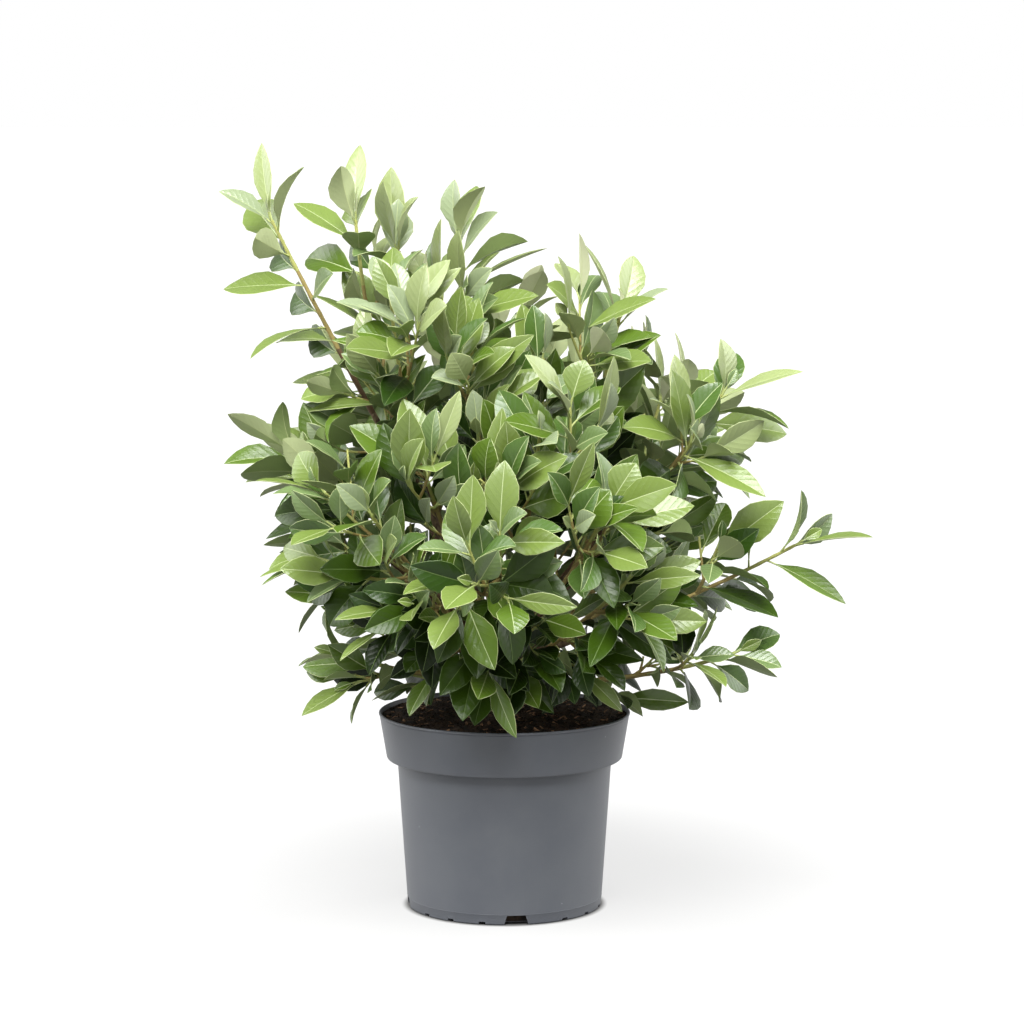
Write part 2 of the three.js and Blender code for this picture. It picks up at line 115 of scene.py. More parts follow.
def new_material(name, colour, roughness, **constants):
    """A material with one Principled shader. constants are set on the shader's own sockets."""
    material = bpy.data.materials.new(name)
    material.use_nodes = True
    shader = material.node_tree.nodes["Principled BSDF"]
    shader.inputs["Base Color"].default_value = linear(colour)
    shader.inputs["Roughness"].default_value = roughness
    for socket, value in constants.items():
        shader.inputs[socket.replace("_", " ")].default_value = value
    return material, shader


def add_node(tree, kind, **values):
    """A node with its properties set, and its input sockets where a value's name is a socket's."""
    node = tree.nodes.new(kind)
    for key, value in values.items():
        label = key.replace("_", " ")
        if label in node.inputs:
            node.inputs[label].default_value = value
        else:
            setattr(node, key, value)
    return node


def wire(tree, *wires):
    """Joins nodes. Each wire is a node and its output, then a node and its input."""
    for source, output, target, socket in wires:
        tree.links.new(source.outputs[output], target.inputs[socket])


def new_group(name, kind, inputs, outputs):
    """A node group with named sockets, and its input and output nodes."""
    tree = bpy.data.node_groups.new(name, kind)
    for label, socket_type, value in inputs:
        socket = tree.interface.new_socket(label, in_out="INPUT", socket_type=socket_type)
        if value is not None:
            socket.default_value = value
    for label, socket_type in outputs:
        tree.interface.new_socket(label, in_out="OUTPUT", socket_type=socket_type)
    return tree, tree.nodes.new("NodeGroupInput"), tree.nodes.new("NodeGroupOutput")


def grain_group():
    """Cloudy tone and fine surface grain in the piece's own coordinates, for every hard finish here."""
    sizes = [
        ("Cloud Scale", "NodeSocketFloat", 20.0),
        ("Grain Scale", "NodeSocketFloat", 900.0),
        ("Grain Depth", "NodeSocketFloat", 0.0001),
        ("Stretch", "NodeSocketVector", (1.0, 1.0, 1.0)),
    ]
    made = [("Cloud", "NodeSocketFloat"), ("Grain", "NodeSocketFloat"), ("Normal", "NodeSocketVector")]
    tree, given, out = new_group("surface_grain", "ShaderNodeTree", sizes, made)
    place = add_node(tree, "ShaderNodeTexCoord")
    mapping = add_node(tree, "ShaderNodeMapping")
    cloud = add_node(tree, "ShaderNodeTexNoise", Detail=4.0, Roughness=0.6)
    grain = add_node(tree, "ShaderNodeTexNoise", Detail=3.0, Roughness=0.55)
    bump = add_node(tree, "ShaderNodeBump", Strength=1.0)
    wire(
        tree,
        (place, "Object", mapping, "Vector"),
        (given, "Stretch", mapping, "Scale"),
        (mapping, "Vector", cloud, "Vector"),
        (mapping, "Vector", grain, "Vector"),
        (given, "Cloud Scale", cloud, "Scale"),
        (given, "Grain Scale", grain, "Scale"),
        (grain, "Fac", bump, "Height"),
        (given, "Grain Depth", bump, "Distance"),
        (cloud, "Fac", out, "Cloud"),
        (grain, "Fac", out, "Grain"),
        (bump, "Normal", out, "Normal"),
    )
    return tree


SURFACE_GRAIN = grain_group()


def add_grain(tree, shader, cloud_scale, grain_scale, grain_depth, stretch=(1, 1, 1)):
    """Places the grain group in a material, gives the shader its normal, and returns the node."""
    node = add_node(
        tree,
        "ShaderNodeGroup",
        node_tree=SURFACE_GRAIN,
        Cloud_Scale=cloud_scale,
        Grain_Scale=grain_scale,
        Grain_Depth=grain_depth,
        Stretch=stretch,
    )
    wire(tree, (node, "Normal", shader, "Normal"))
    return node


def blend_colours(tree, amount, low, high, from_low=0.35, from_high=0.65):
    """A colour between two, by a value that mostly lies between from_low and from_high."""
    spread = add_node(tree, "ShaderNodeMapRange", From_Min=from_low, From_Max=from_high)
    mix = add_node(tree, "ShaderNodeMix", data_type="RGBA")
    tree.links.new(amount, spread.inputs["Value"])
    wire(tree, (spread, "Result", mix, "Factor"))
    for socket, colour in (("A", low), ("B", high)):
        target = next(s for s in mix.inputs if s.name == socket and s.type == "RGBA")
        if isinstance(colour, bpy.types.NodeSocket):
            tree.links.new(colour, target)
        else:
            target.default_value = linear(colour)
    return next(s for s in mix.outputs if s.type == "RGBA")


def pot_plastic():
    """Satin grey plastic: faint clouds of dust, a fine moulded grain and a few pale specks."""
    material, shader = new_material("pot_plastic", POT_GREY, POT_ROUGHNESS, Specular_IOR_Level=0.5)
    tree = material.node_tree
    grain = add_grain(tree, shader, **POT_GRAIN)
    dusty = blend_colours(tree, grain.outputs["Cloud"], POT_GREY, POT_GREY_WORN)
    place = add_node(tree, "ShaderNodeTexCoord")
    specks = add_node(tree, "ShaderNodeTexVoronoi", Scale=SPECK_SCALE, Randomness=1.0)
    coloured = blend_colours(tree, specks.outputs["Distance"], SPECK_GREY, dusty, *SPECK_EDGE)
    tree.links.new(coloured, shader.inputs["Base Color"])
    satin = add_node(tree, "ShaderNodeMapRange", To_Min=POT_SMOOTHEST, To_Max=POT_ROUGHEST)
    wire(
        tree,
        (place, "Object", specks, "Vector"),
        (grain, "Cloud", satin, "Value"),
        (satin, "Result", shader, "Roughness"),
    )
    return material


def full_turn(steps):
    """The angles of so many even steps once round."""
    return [2 * math.pi * i / steps for i in range(steps)]


def join_meshes(parts):
    """Several lists of points and faces as one."""
    points, faces = [], []
    for more, their_faces in parts:
        faces += [[i + len(points) for i in face] for face in their_faces]
        points += more
    return points, faces


def arc(centre, radius, start, end, steps=5):
    """Points on an arc in the section of a turned shape, by angles in degrees."""
    turns = [math.radians(start + (end - start) * i / steps) for i in range(steps + 1)]
    return [(centre[0] + radius * math.cos(a), centre[1] + radius * math.sin(a)) for a in turns]


def turned(points, segments):
    """Points and faces of a section of radius and height turned round the axis, from axis to axis."""
    rows = points[1:-1]
    made = [(0, 0, points[0][1]), (0, 0, points[-1][1])]
    for a in full_turn(segments):
        made += [(r * math.cos(a), r * math.sin(a), z) for r, z in rows]
    faces = []
    for i in range(segments):
        here = 2 + i * len(rows)
        there = 2 + (i + 1) % segments * len(rows)
        faces.append((0, there, here))
        faces += [(here + k, there + k, there + k + 1, here + k + 1) for k in range(len(rows) - 1)]
        faces.append((1, here + len(rows) - 1, there + len(rows) - 1))
    return made, faces


def pot_section():
    """The pot's section, from the middle of its underside out, up, over the rim and down inside."""
    line_radius = FOOT_RADIUS + WALL_SLOPE * FOOT_LINE_HEIGHT
    bead = (RIM_RADIUS - BEAD_RADIUS, POT_HEIGHT - BEAD_RADIUS)
    collar_top = (RIM_RADIUS - BEAD_GROOVE * 1.6, bead[1] - BEAD_RADIUS * 1.2)
    outside = [
        (0, 0),
        *arc((FOOT_RADIUS - FOOT_ROUND, FOOT_ROUND), FOOT_ROUND, -90, 0),
        (line_radius, FOOT_LINE_HEIGHT - 2 * FOOT_LINE),
        (line_radius + FOOT_LINE, FOOT_LINE_HEIGHT),
        (line_radius, FOOT_LINE_HEIGHT + FOOT_LINE),
        (NECK_RADIUS, COLLAR_FOOT - NECK_CHAMFER),
        (NECK_RADIUS + NECK_CHAMFER, COLLAR_FOOT),
        *arc((COLLAR_RADIUS - COLLAR_ROUND, COLLAR_FOOT + COLLAR_ROUND), COLLAR_ROUND, -90, 0),
        collar_top,
        (collar_top[0] - BEAD_GROOVE, collar_top[1] + BEAD_GROOVE),
        *arc(bead, BEAD_RADIUS, -60, 180, 9),
    ]
    inside = [
        (COLLAR_RADIUS - WALL, COLLAR_FOOT + WALL + COLLAR_ROUND),
        (NECK_RADIUS - WALL, COLLAR_FOOT + WALL),
        (INNER_FOOT_RADIUS, FLOOR),
        (0, FLOOR),
    ]
    return outside, inside


def notch_cutter(width, splay, height, azimuth):
    """A wedge that cuts one drainage notch out of the foot, wider at the bottom."""
    a = math.radians(azimuth)
    out = Vector((math.cos(a), math.sin(a), 0))
    side = Vector((-out.y, out.x, 0))
    top, foot = width / 2, width / 2 + splay
    outline = [(-foot, -MM), (foot, -MM), (top, height), (-top, height)]
    near, far = FOOT_RADIUS - NOTCH_DEPTH, FOOT_RADIUS + NOTCH_DEPTH
    points = [out * r + side * x + Vector((0, 0, z)) for r in (near, far) for x, z in outline]
    faces = [(3, 2, 1, 0), (4, 5, 6, 7), (0, 1, 5, 4), (1, 2, 6, 5), (2, 3, 7, 6), (3, 0, 4, 7)]
    return points, faces


def make_pot():
    """The turned shell with its drainage notches cut out."""
    outside, inside = pot_section()
    points, faces = turned(outside + inside, POT_SEGMENTS)
    pot = mesh_piece("pot_shell", points, faces, [pot_plastic()])
    notches = [(LARGE_NOTCH, 0)] + [(SMALL_NOTCH, after) for after in SMALL_NOTCHES_AFTER]
    wedges = [
        notch_cutter(**notch, azimuth=quarter + after)
        for quarter in QUARTER_AZIMUTHS
        for notch, after in notches
    ]
    cutter = mesh_piece("notch_cutters", *join_meshes(wedges), [])
    cut = pot.modifiers.new("notches", "BOOLEAN")
    cut.object = cutter
    cut.operation = "DIFFERENCE"
    cut.solver = "EXACT"
    settle(pot)
    bpy.data.objects.remove(cutter)
    pot.data.set_sharp_from_angle(angle=math.radians(POT_CREASE))
    return pot


pot = make_pot()
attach(pot, "root")
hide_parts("pot")

# Soil: dark peat compost, filled to just under the rim and a little mounded towards the stems. It is a
# rough crust of crumbs with bits of bark and fibre lying loose on it.
SOIL_BELOW_RIM = 3.2 * MM
SOIL_MOUND = 4.5 * MM
SOIL_INSIDE_RIM = 2.6 * MM
SOIL_CLEARANCE = 0.4 * MM
SOIL_RINGS = 46
SOIL_SEGMENTS = 150
SOIL_LUMPS, LUMPS_PER_MM = 2.2 * MM, 0.07
SOIL_CRUST, CRUST_PER_MM = 1.1 * MM, 0.33
SOIL_ROUGHNESS = 0.95
SOIL_BLEND = (0.4, 0.72)
SOIL_GRAIN = {"cloud_scale": 160.0, "grain_scale": 700.0}
PEAT_GRAIN_DEPTH, CHIP_GRAIN_DEPTH = 0.0006, 0.0003
STREWN_INSIDE = 1.5 * MM
CRUMB_SIZE = 1.7 * MM
CRUMBS_PER_SQUARE_METRE = 95000
CHIP_SIZE = (5.6 * MM, 1.9 * MM, 0.7 * MM)
CHIPS_PER_SQUARE_METRE = 7500
CRUMB_SEED, CHIP_SEED = 11, 5
CHIP_TILT = 0.5
GRAIN_UNEVENNESS = 1.7
TURN_SEED, SIZE_SEED = 3, 8
SMALLEST_GRAIN, LARGEST_GRAIN = (0.45, 0.45, 0.45), (1.5, 1.4, 1.3)
SOIL_DARK = (15, 12, 8)
SOIL_BROWN = (62, 46, 33)
CHIP_BROWN = (150, 118, 90)
CHIP_DARK = (66, 48, 34)
soil_edge = POT_HEIGHT - SOIL_BELOW_RIM


def soil_height(x, y, edge_radius):
    """The soil's surface: a low mound with lumps and a crumbly crust."""
    r = min(1.0, math.hypot(x, y) / edge_radius)
    place = Vector((x, y, 0)) / MM
    lumps = noise.noise(place * LUMPS_PER_MM) * SOIL_LUMPS + noise.noise(place * CRUST_PER_MM) * SOIL_CRUST
    return soil_edge + SOIL_MOUND * math.cos(r * math.pi / 2) + lumps * (1 - 0.5 * r**4)


def soil_surface(edge_radius):
    """Rings of points over the soil's top, from the middle out, and their faces."""
    points = [(0, 0, soil_height(0, 0, edge_radius))]
    for ring in range(1, SOIL_RINGS + 1):
        radius = edge_radius * ring / SOIL_RINGS
        for a in full_turn(SOIL_SEGMENTS):
            x, y = radius * math.cos(a), radius * math.sin(a)
            points.append((x, y, soil_height(x, y, edge_radius)))
    faces = []
    for i in range(SOIL_SEGMENTS):
        j = (i + 1) % SOIL_SEGMENTS
        faces.append((0, 1 + i, 1 + j))
        for ring in range(SOIL_RINGS - 1):
            inner, outer = 1 + ring * SOIL_SEGMENTS, 1 + (ring + 1) * SOIL_SEGMENTS
            faces.append((inner + i, outer + i, outer + j, inner + j))
    return points, faces


def soil_body(edge_radius):
    """The soil's top closed off down the inside of the pot to its floor."""
    points, faces = soil_surface(edge_radius)
    rows = [
        (COLLAR_RADIUS - WALL - SOIL_CLEARANCE, COLLAR_FOOT + WALL + COLLAR_ROUND + SOIL_CLEARANCE),
        (NECK_RADIUS - WALL - SOIL_CLEARANCE, COLLAR_FOOT + WALL + SOIL_CLEARANCE),
        (INNER_FOOT_RADIUS - SOIL_CLEARANCE, FLOOR + SOIL_CLEARANCE),
    ]
    above = len(points) - SOIL_SEGMENTS
    for radius, z in rows:
        here = len(points)
        points += [(radius * math.cos(a), radius * math.sin(a), z) for a in full_turn(SOIL_SEGMENTS)]
        for i in range(SOIL_SEGMENTS):
            j = (i + 1) % SOIL_SEGMENTS
            faces.append((above + i, here + i, here + j, above + j))
        above = here
    faces.append([above + i for i in reversed(range(SOIL_SEGMENTS))])
    return points, faces


def earth_material(name, dark, light, grain_depth):
    """Matt, crumbly stuff, clouded between a dark and a light colour."""
    material, shader = new_material(name, dark, SOIL_ROUGHNESS, Specular_IOR_Level=0.2)
    tree = material.node_tree
    grain = add_grain(tree, shader, **SOIL_GRAIN, grain_depth=grain_depth)
    colour = blend_colours(tree, grain.outputs["Cloud"], dark, light, *SOIL_BLEND)
    tree.links.new(colour, shader.inputs["Base Color"])
    return material


def uneven_offset(tree, scale):
    """A node that gives noise from -0.5 to 0.5 on each axis, to move points a little."""
    lumps = add_node(tree, "ShaderNodeTexNoise", Scale=scale, Detail=1.0)
    centred = add_node(tree, "ShaderNodeVectorMath", operation="SUBTRACT")
    centred.inputs[1].default_value = (0.5, 0.5, 0.5)
    wire(tree, (lumps, "Color", centred, 0))
    return centred


def scatter_tree(name, grain_kind):
    """Crumbs or chips strewn over a surface by chance, each turned and sized by chance."""
    given_sockets = [
        ("Surface", "NodeSocketGeometry", None),
        ("Density", "NodeSocketFloat", 1000.0),
        ("Size", "NodeSocketVector", (0.001, 0.001, 0.001)),
        ("Seed", "NodeSocketInt", 1),
        ("Material", "NodeSocketMaterial", None),
    ]
    made = [("Grains", "NodeSocketGeometry")]
    tree, given, out = new_group(name, "GeometryNodeTree", given_sockets, made)
    strewn = add_node(tree, "GeometryNodeDistributePointsOnFaces", distribute_method="RANDOM")
    if grain_kind == "crumb":
        shape = add_node(tree, "GeometryNodeMeshIcoSphere", Radius=0.5, Subdivisions=1)
        most_turned = (2 * math.pi,) * 3
    else:
        shape = add_node(tree, "GeometryNodeMeshCube", Size=(1.0, 1.0, 1.0), Vertices_X=4)
        most_turned = (CHIP_TILT, CHIP_TILT, 2 * math.pi)
    rough = uneven_offset(tree, GRAIN_UNEVENNESS)
    uneven = add_node(tree, "GeometryNodeSetPosition")
    vectors = {"data_type": "FLOAT_VECTOR"}
    turn = add_node(tree, "FunctionNodeRandomValue", **vectors, Max=most_turned, Seed=TURN_SEED)
    sizes = {"Min": SMALLEST_GRAIN, "Max": LARGEST_GRAIN, "Seed": SIZE_SEED}
    sized = add_node(tree, "FunctionNodeRandomValue", **vectors, **sizes)
    scaled = add_node(tree, "ShaderNodeVectorMath", operation="MULTIPLY")
    placed = add_node(tree, "GeometryNodeInstanceOnPoints")
    real = add_node(tree, "GeometryNodeRealizeInstances")
    finish = add_node(tree, "GeometryNodeSetMaterial")
    wire(
        tree,
        (given, "Surface", strewn, "Mesh"),
        (given, "Density", strewn, "Density"),
        (given, "Seed", strewn, "Seed"),
        (shape, "Mesh", uneven, "Geometry"),
        (rough, "Vector", uneven, "Offset"),
        (sized, "Value", scaled, 0),
        (given, "Size", scaled, 1),
        (strewn, "Points", placed, "Points"),
        (uneven, "Geometry", placed, "Instance"),
        (turn, "Value", placed, "Rotation"),
        (scaled, "Vector", placed, "Scale"),
        (placed, "Instances", real, "Geometry"),
        (real, "Geometry", finish, "Geometry"),
        (given, "Material", finish, "Material"),
        (finish, "Geometry", out, "Grains"),
    )
    return tree


def set_input(modifier, label, value):
    """Sets a Geometry Nodes modifier's input by its socket's identifier."""
    items = modifier.node_group.interface.items_tree
    socket = next(item for item in items if item.name == label and item.in_out == "INPUT")
    modifier[socket.identifier] = value


def strew(name, kind, surface, density, size, seed, material):
    """A piece of crumbs or chips that lie all over a surface."""
    points, faces = surface
    piece = mesh_piece(name, points, faces, [])
    grains = piece.modifiers.new("grains", "NODES")
    grains.node_group = scatter_tree(f"strewn_{kind}", kind)
    for label, value in (("Density", density), ("Size", size), ("Seed", seed), ("Material", material)):
        set_input(grains, label, value)
    return settle(piece)


soil_radius = RIM_RADIUS - SOIL_INSIDE_RIM
peat = earth_material("peat", SOIL_DARK, SOIL_BROWN, PEAT_GRAIN_DEPTH)
points, faces = soil_body(soil_radius)
soil = mesh_piece("soil_body", points, faces, [peat])
soil_top = soil_surface(soil_radius - STREWN_INSIDE)
crumb_size = (CRUMB_SIZE,) * 3
crumbs = strew("peat_crumbs", "crumb", soil_top, CRUMBS_PER_SQUARE_METRE, crumb_size, CRUMB_SEED, peat)
chip_bark = earth_material("bark_chips", CHIP_DARK, CHIP_BROWN, CHIP_GRAIN_DEPTH)
chips = strew("bark_chips", "chip", soil_top, CHIPS_PER_SQUARE_METRE, CHIP_SIZE, CHIP_SEED, chip_bark)
for piece in (soil, crumbs, chips):
    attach(piece, "root")
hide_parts("soil")

# Trunk and boughs: the old wood of the shrub, brown bark with shallow fissures, swollen where limbs join.
# Sizes are in millimetres, and each mesh is turned to metres as it is made.
trunk_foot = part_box("trunk")[0].z / MM
TRUNK = {"top": 224, "lean": (-6, 4), "flare": 5, "flare_height": 9, "radius": 10, "top_radius": 7}
LIMB_TIP_RADIUS = 2.2
TWIG_TIP_RADIUS, LEADER_TIP_RADIUS, SHOOT_END_RADIUS = 1.0, 1.2, 0.8
TRUNK_SIDES, TRUNK_RINGS = 40, 60
BOUGH_SIDES, BOUGH_RING_SPACING = 14, 2.4
BOUGH_SUNK = 0.5
BOUGH_BEND = 0.45
BARK_FISSURES, FISSURES_ROUND, THICK_BARK_RADIUS = 0.09, 2.4, 5
BARK_KNOTS, KNOTS_PER_MM = 0.05, 0.11
BARK_ROUGHNESS = 0.85
BARK_GRAIN = {"cloud_scale": 120.0, "grain_scale": 420.0, "grain_depth": 0.0005, "stretch": (1, 1, 0.3)}
BARK_OLD = (74, 60, 46)
BARK_PALE = (124, 106, 82)

# Each stem runs from the trunk, or from an older stem, to the tip of one mass of foliage. Its first part
# is the bough, and the rest is the leader inside the mass. Where bough is 0 the mass starts at the trunk.
# start_on, at: where it starts, as a height on the trunk or as a share of the older bough's length
# start: the azimuth at which it leaves the trunk. azimuth, reach, height: where its tip is
# sweep, sag: how far its middle is moved out below the tip, as a share of its length, and lowered
# bough: the share of it that is bare bough. girth: its radius at the start
# twigs, spread: the side twigs in the mass and their length. leaf: size of its leaves
# gap: how far apart its leaves are, as a share of the usual. turn: the azimuth of its first leaf
Stem = namedtuple(
    "Stem",
    "name start_on at start azimuth reach height sweep sag bough girth twigs spread leaf gap turn",
)
STEM_ROWS = [
    ("tall_left", "trunk", 214, 178, 180, 173, 518, 0.02, 3, 0.56, 4.2, 0, 34, 1.12, 1.15, 50),
    ("second_spire", "tall_left", 0.4, 0, 170, 113, 517, 0.4, 0, 0.26, 2.7, 3, 52, 1.15, 1.2, 100),
    ("inner_left", "front_centre_left", 0.42, 0, 216, 102, 462, 0.4, 0, 0.24, 2.8, 4, 56, 1, 1, 92),
    ("third_spire", "trunk", 217, 100, 150, 40, 503, 0.2, 0, 0.34, 4.2, 3, 30, 1.15, 1, 186),
    ("centre_front_high", "front_centre_right", 0.5, 0, 248, 65, 436, 0.3, 0, 0.26, 2.7, 4, 56, 1, 1, 160),
    ("centre_right_high", "right_spire", 0.5, 0, 60, 40, 418, 0.2, 0, 0.24, 2.7, 4, 50, 1, 1, 240),
    ("right_spire", "trunk", 213, 8, 358, 86, 447, 0.25, 0, 0.3, 4, 4, 52, 1.1, 1, 240),
    ("right_upper", "trunk", 200, 338, 352, 163, 390, 0.1, 6, 0.26, 3.8, 4, 35, 1.1, 1, 20),
    ("right_inner", "back_right", 0.45, 0, 18, 124, 378, 0.3, 0, 0.24, 2.7, 4, 56, 1, 1, 320),
    ("right_long", "trunk", 186, 2, 357, 218, 276, 0.05, 5, 0.22, 3.2, 2, 38, 1.1, 1.6, 130),
    ("left_mid", "trunk", 199, 186, 181, 160, 346, 0.1, 4, 0.26, 3.4, 4, 42, 1.05, 1.35, 180),
    ("left_lower", "trunk", 186, 166, 168, 128, 294, 0.1, 0, 0.22, 3, 4, 44, 0.95, 1.25, 106),
    ("front_left", "trunk", 198, 228, 232, 154, 312, 0.15, 0, 0.22, 3.4, 4, 58, 1, 1.15, 140),
    ("front_centre_left", "trunk", 212, 234, 240, 116, 344, 0.2, 0, 0.28, 3.8, 5, 58, 1.05, 1, 180),
    ("front_centre", "trunk", 187, 264, 269, 168, 302, 0.15, 0, 0.2, 3.3, 4, 58, 1.05, 1, 220),
    ("front_centre_right", "trunk", 203, 292, 282, 122, 368, 0.2, 0, 0.28, 3.8, 4, 58, 1.05, 1, 260),
    ("front_right", "trunk", 191, 316, 298, 158, 320, 0.15, 0, 0.22, 3.4, 4, 58, 1, 1, 306),
    ("back_left", "trunk", 199, 132, 130, 156, 372, 0.15, 0, 0.26, 3.6, 4, 62, 1, 0.75, 340),
    ("back_high", "third_spire", 0.45, 0, 84, 96, 408, 0.3, 0, 0.26, 2.8, 4, 60, 1, 0.75, 30),
    ("back_right", "trunk", 197, 52, 48, 156, 322, 0.15, 0, 0.26, 3.6, 4, 58, 1, 0.75, 70),
    ("back_centre", "trunk", 190, 94, 92, 160, 316, 0.15, 0, 0.24, 3.4, 4, 60, 1, 0.7, 110),
    ("right_low", "trunk", 168, 344, 350, 172, 196, 0.15, 4, 0, 2.6, 3, 22, 1, 1.4, 156),
    ("left_low_long", "trunk", 168, 204, 199, 124, 196, 0, 2, 0, 2.5, 3, 34, 0.95, 1.6, 197),
    ("left_low", "trunk", 178, 222, 204, 100, 244, 0.1, 0, 0, 2.6, 4, 48, 0.95, 1.3, 230),
    ("bottom_left", "trunk", 176, 254, 243, 134, 270, 0.1, 0, 0, 2.6, 4, 48, 0.9, 1, 270),
    ("bottom_front", "trunk", 166, 280, 283, 114, 262, 0.1, 0, 0, 2.5, 4, 44, 1, 1.4, 310),
    ("bottom_right", "trunk", 176, 316, 310, 138, 262, 0.1, 0, 0, 2.6, 4, 46, 0.95, 1, 350),
    ("back_low_left", "trunk", 176, 144, 140, 118, 266, 0.1, 0, 0, 2.6, 4, 56, 1, 0.9, 10),
    ("back_low", "trunk", 170, 96, 96, 138, 232, 0.1, 0, 0, 2.5, 4, 54, 1, 0.75, 50),
    ("back_low_right", "trunk", 176, 38, 42, 130, 258, 0.1, 0, 0, 2.6, 4, 56, 1, 0.9, 90),
]
STEMS = [Stem(*row) for row in STEM_ROWS]
UP = Vector((0, 0, 1))
DRAWS = 2147483647


def lerp(low, high, share):
    """The value a share of the way from low to high."""
    return low + (high - low) * share


def chance(*keys):
    """A number from 0 to 1 that depends only on its keys. The last key tells one use from another."""
    h = 20011
    for key in keys:
        h = (h * 16807 + key * 7919 + 101) % DRAWS
    for _ in range(3):
        h = (h * 48271 + 11) % DRAWS
    return h / DRAWS


def between(low, high, *keys):
    """A value from low to high that depends only on its keys."""
    return lerp(low, high, chance(*keys))


def placed_at(azimuth, reach, height):
    """A point by azimuth in degrees, distance from the pot's axis, and height."""
    a = math.radians(azimuth)
    return Vector((reach * math.cos(a), reach * math.sin(a), height))


def square_to(vector, unit):
    """The part of a vector that is square to a unit vector, made one long."""
    return (vector - unit * vector.dot(unit)).normalized()


def turned_about(vector, axis, degrees):
    """A vector turned about an axis."""
    return Quaternion(axis, math.radians(degrees)) @ vector


class Path:
    """One smooth curve from foot to tip, drawn towards bend."""

    def __init__(self, foot, bend, tip):
        self.foot, self.bend, self.tip = foot, bend, tip
        steps = [self.point(i / 40) for i in range(41)]
        self.length = sum((b - a).length for a, b in zip(steps, steps[1:]))

    def point(self, share):
        rest = 1 - share
        return self.foot * rest * rest + self.bend * 2 * rest * share + self.tip * share * share

    def tangent(self, share):
        return ((self.bend - self.foot) * (1 - share) + (self.tip - self.bend) * share).normalized()


trunk_top = Vector((*TRUNK["lean"], TRUNK["top"]))
trunk_base = Vector((0, 0, trunk_foot))
trunk_path = Path(trunk_base, (trunk_base + trunk_top) / 2, trunk_top)


def trunk_radius(share):
    """The trunk tapers evenly above the flare at the soil."""
    above = share * (TRUNK["top"] - trunk_foot)
    flare = TRUNK["flare"] * math.exp(-above / TRUNK["flare_height"])
    return lerp(TRUNK["radius"], TRUNK["top_radius"], share) + flare


paths = {}


def stem_path(stem):
    """The curve of a stem, from where it leaves the trunk or an older bough to its tip."""
    if stem.name in paths:
        return paths[stem.name]
    tip = placed_at(stem.azimuth, stem.reach, stem.height)
    if stem.start_on == "trunk":
        share = (stem.at - trunk_foot) / (TRUNK["top"] - trunk_foot)
        foot = trunk_path.point(share) + placed_at(stem.start, trunk_radius(share) * BOUGH_SUNK, 0)
    else:
        older = next(other for other in STEMS if other.name == stem.start_on)
        foot = stem_path(older).point(stem.at * older.bough)
    bend = foot.lerp(tip, BOUGH_BEND)
    bend.x += (tip.x - foot.x) * stem.sweep
    bend.y += (tip.y - foot.y) * stem.sweep
    bend.z -= 2 * stem.sag
    paths[stem.name] = Path(foot, bend, tip)
    return paths[stem.name]


def stem_radius(stem, share):
    """A bough tapers to its tip, and the leader inside the mass goes on from there."""
    if share < stem.bough:
        return lerp(stem.girth, LIMB_TIP_RADIUS, share / stem.bough)
    joint = LIMB_TIP_RADIUS if stem.bough else stem.girth
    return lerp(joint - 0.1, LEADER_TIP_RADIUS, (share - stem.bough) / (1 - stem.bough))


def bark_relief(point, turn, radius):
    """How far bark stands out, as a share of the limb's radius: fissures along it, and knots."""
    along = point.z * 0.05 + point.x * 0.03
    across, aside = math.cos(turn) * FISSURES_ROUND, math.sin(turn) * FISSURES_ROUND
    fissure = noise.noise(Vector((across, aside, along)))
    knot = noise.noise(point * KNOTS_PER_MM)
    deep = BARK_FISSURES * (fissure - abs(fissure) * 0.6)
    return deep * min(1.4, radius / THICK_BARK_RADIUS) + BARK_KNOTS * knot


def band(low, high, count):
    """The faces between two rings of points, whose first points are low and high."""
    nexts = [(i + 1) % count for i in range(count)]
    return [(low + i, low + j, high + j, high + i) for i, j in enumerate(nexts)]


def limb_mesh(path, from_share, to_share, radius_at, sides, rings):
    """Points and faces of one closed, tapering limb with bark in relief."""
    points, faces = [], []
    first = path.tangent(from_share)
    across = square_to(Vector((1, 0, 0)) if abs(first.z) > 0.9 else UP, first)
    for ring in range(rings + 1):
        share = lerp(from_share, to_share, ring / rings)
        tangent = path.tangent(share)
        side = square_to(across, tangent)
        other = tangent.cross(side)
        centre = path.point(share)
        for turn in full_turn(sides):
            radius = radius_at(share)
            radius *= 1 + bark_relief(centre, turn, radius)
            points.append(centre + (side * math.cos(turn) + other * math.sin(turn)) * radius)
    for ring in range(rings):
        faces += band(ring * sides, (ring + 1) * sides, sides)
    faces.append(list(reversed(range(sides))))
    faces.append([rings * sides + i for i in range(sides)])
    return points, faces


def bark_material():
    """Old brown bark, paler on the ridges of its long grain."""
    material, shader = new_material("bark", BARK_OLD, BARK_ROUGHNESS, Specular_IOR_Level=0.25)
    tree = material.node_tree
    grain = add_grain(tree, shader, **BARK_GRAIN)
    colour = blend_colours(tree, grain.outputs["Grain"], BARK_OLD, BARK_PALE)
    tree.links.new(colour, shader.inputs["Base Color"])
    return material


boughs = [stem for stem in STEMS if stem.bough]
limb_parts = [limb_mesh(trunk_path, 0, 1, trunk_radius, TRUNK_SIDES, TRUNK_RINGS)]
for stem in boughs:
    path = stem_path(stem)
    rings = max(8, round(path.length * stem.bough / BOUGH_RING_SPACING))
    radius_at = lambda share, s=stem: stem_radius(s, share)
    limb_parts.append(limb_mesh(path, 0, stem.bough, radius_at, BOUGH_SIDES, rings))
points, faces = join_meshes(limb_parts)
limbs = mesh_piece("limbs", [p * MM for p in points], faces, [bark_material()])
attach(limbs, "root")
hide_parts("trunk", *[f"bough_{stem.name}" for stem in boughs])

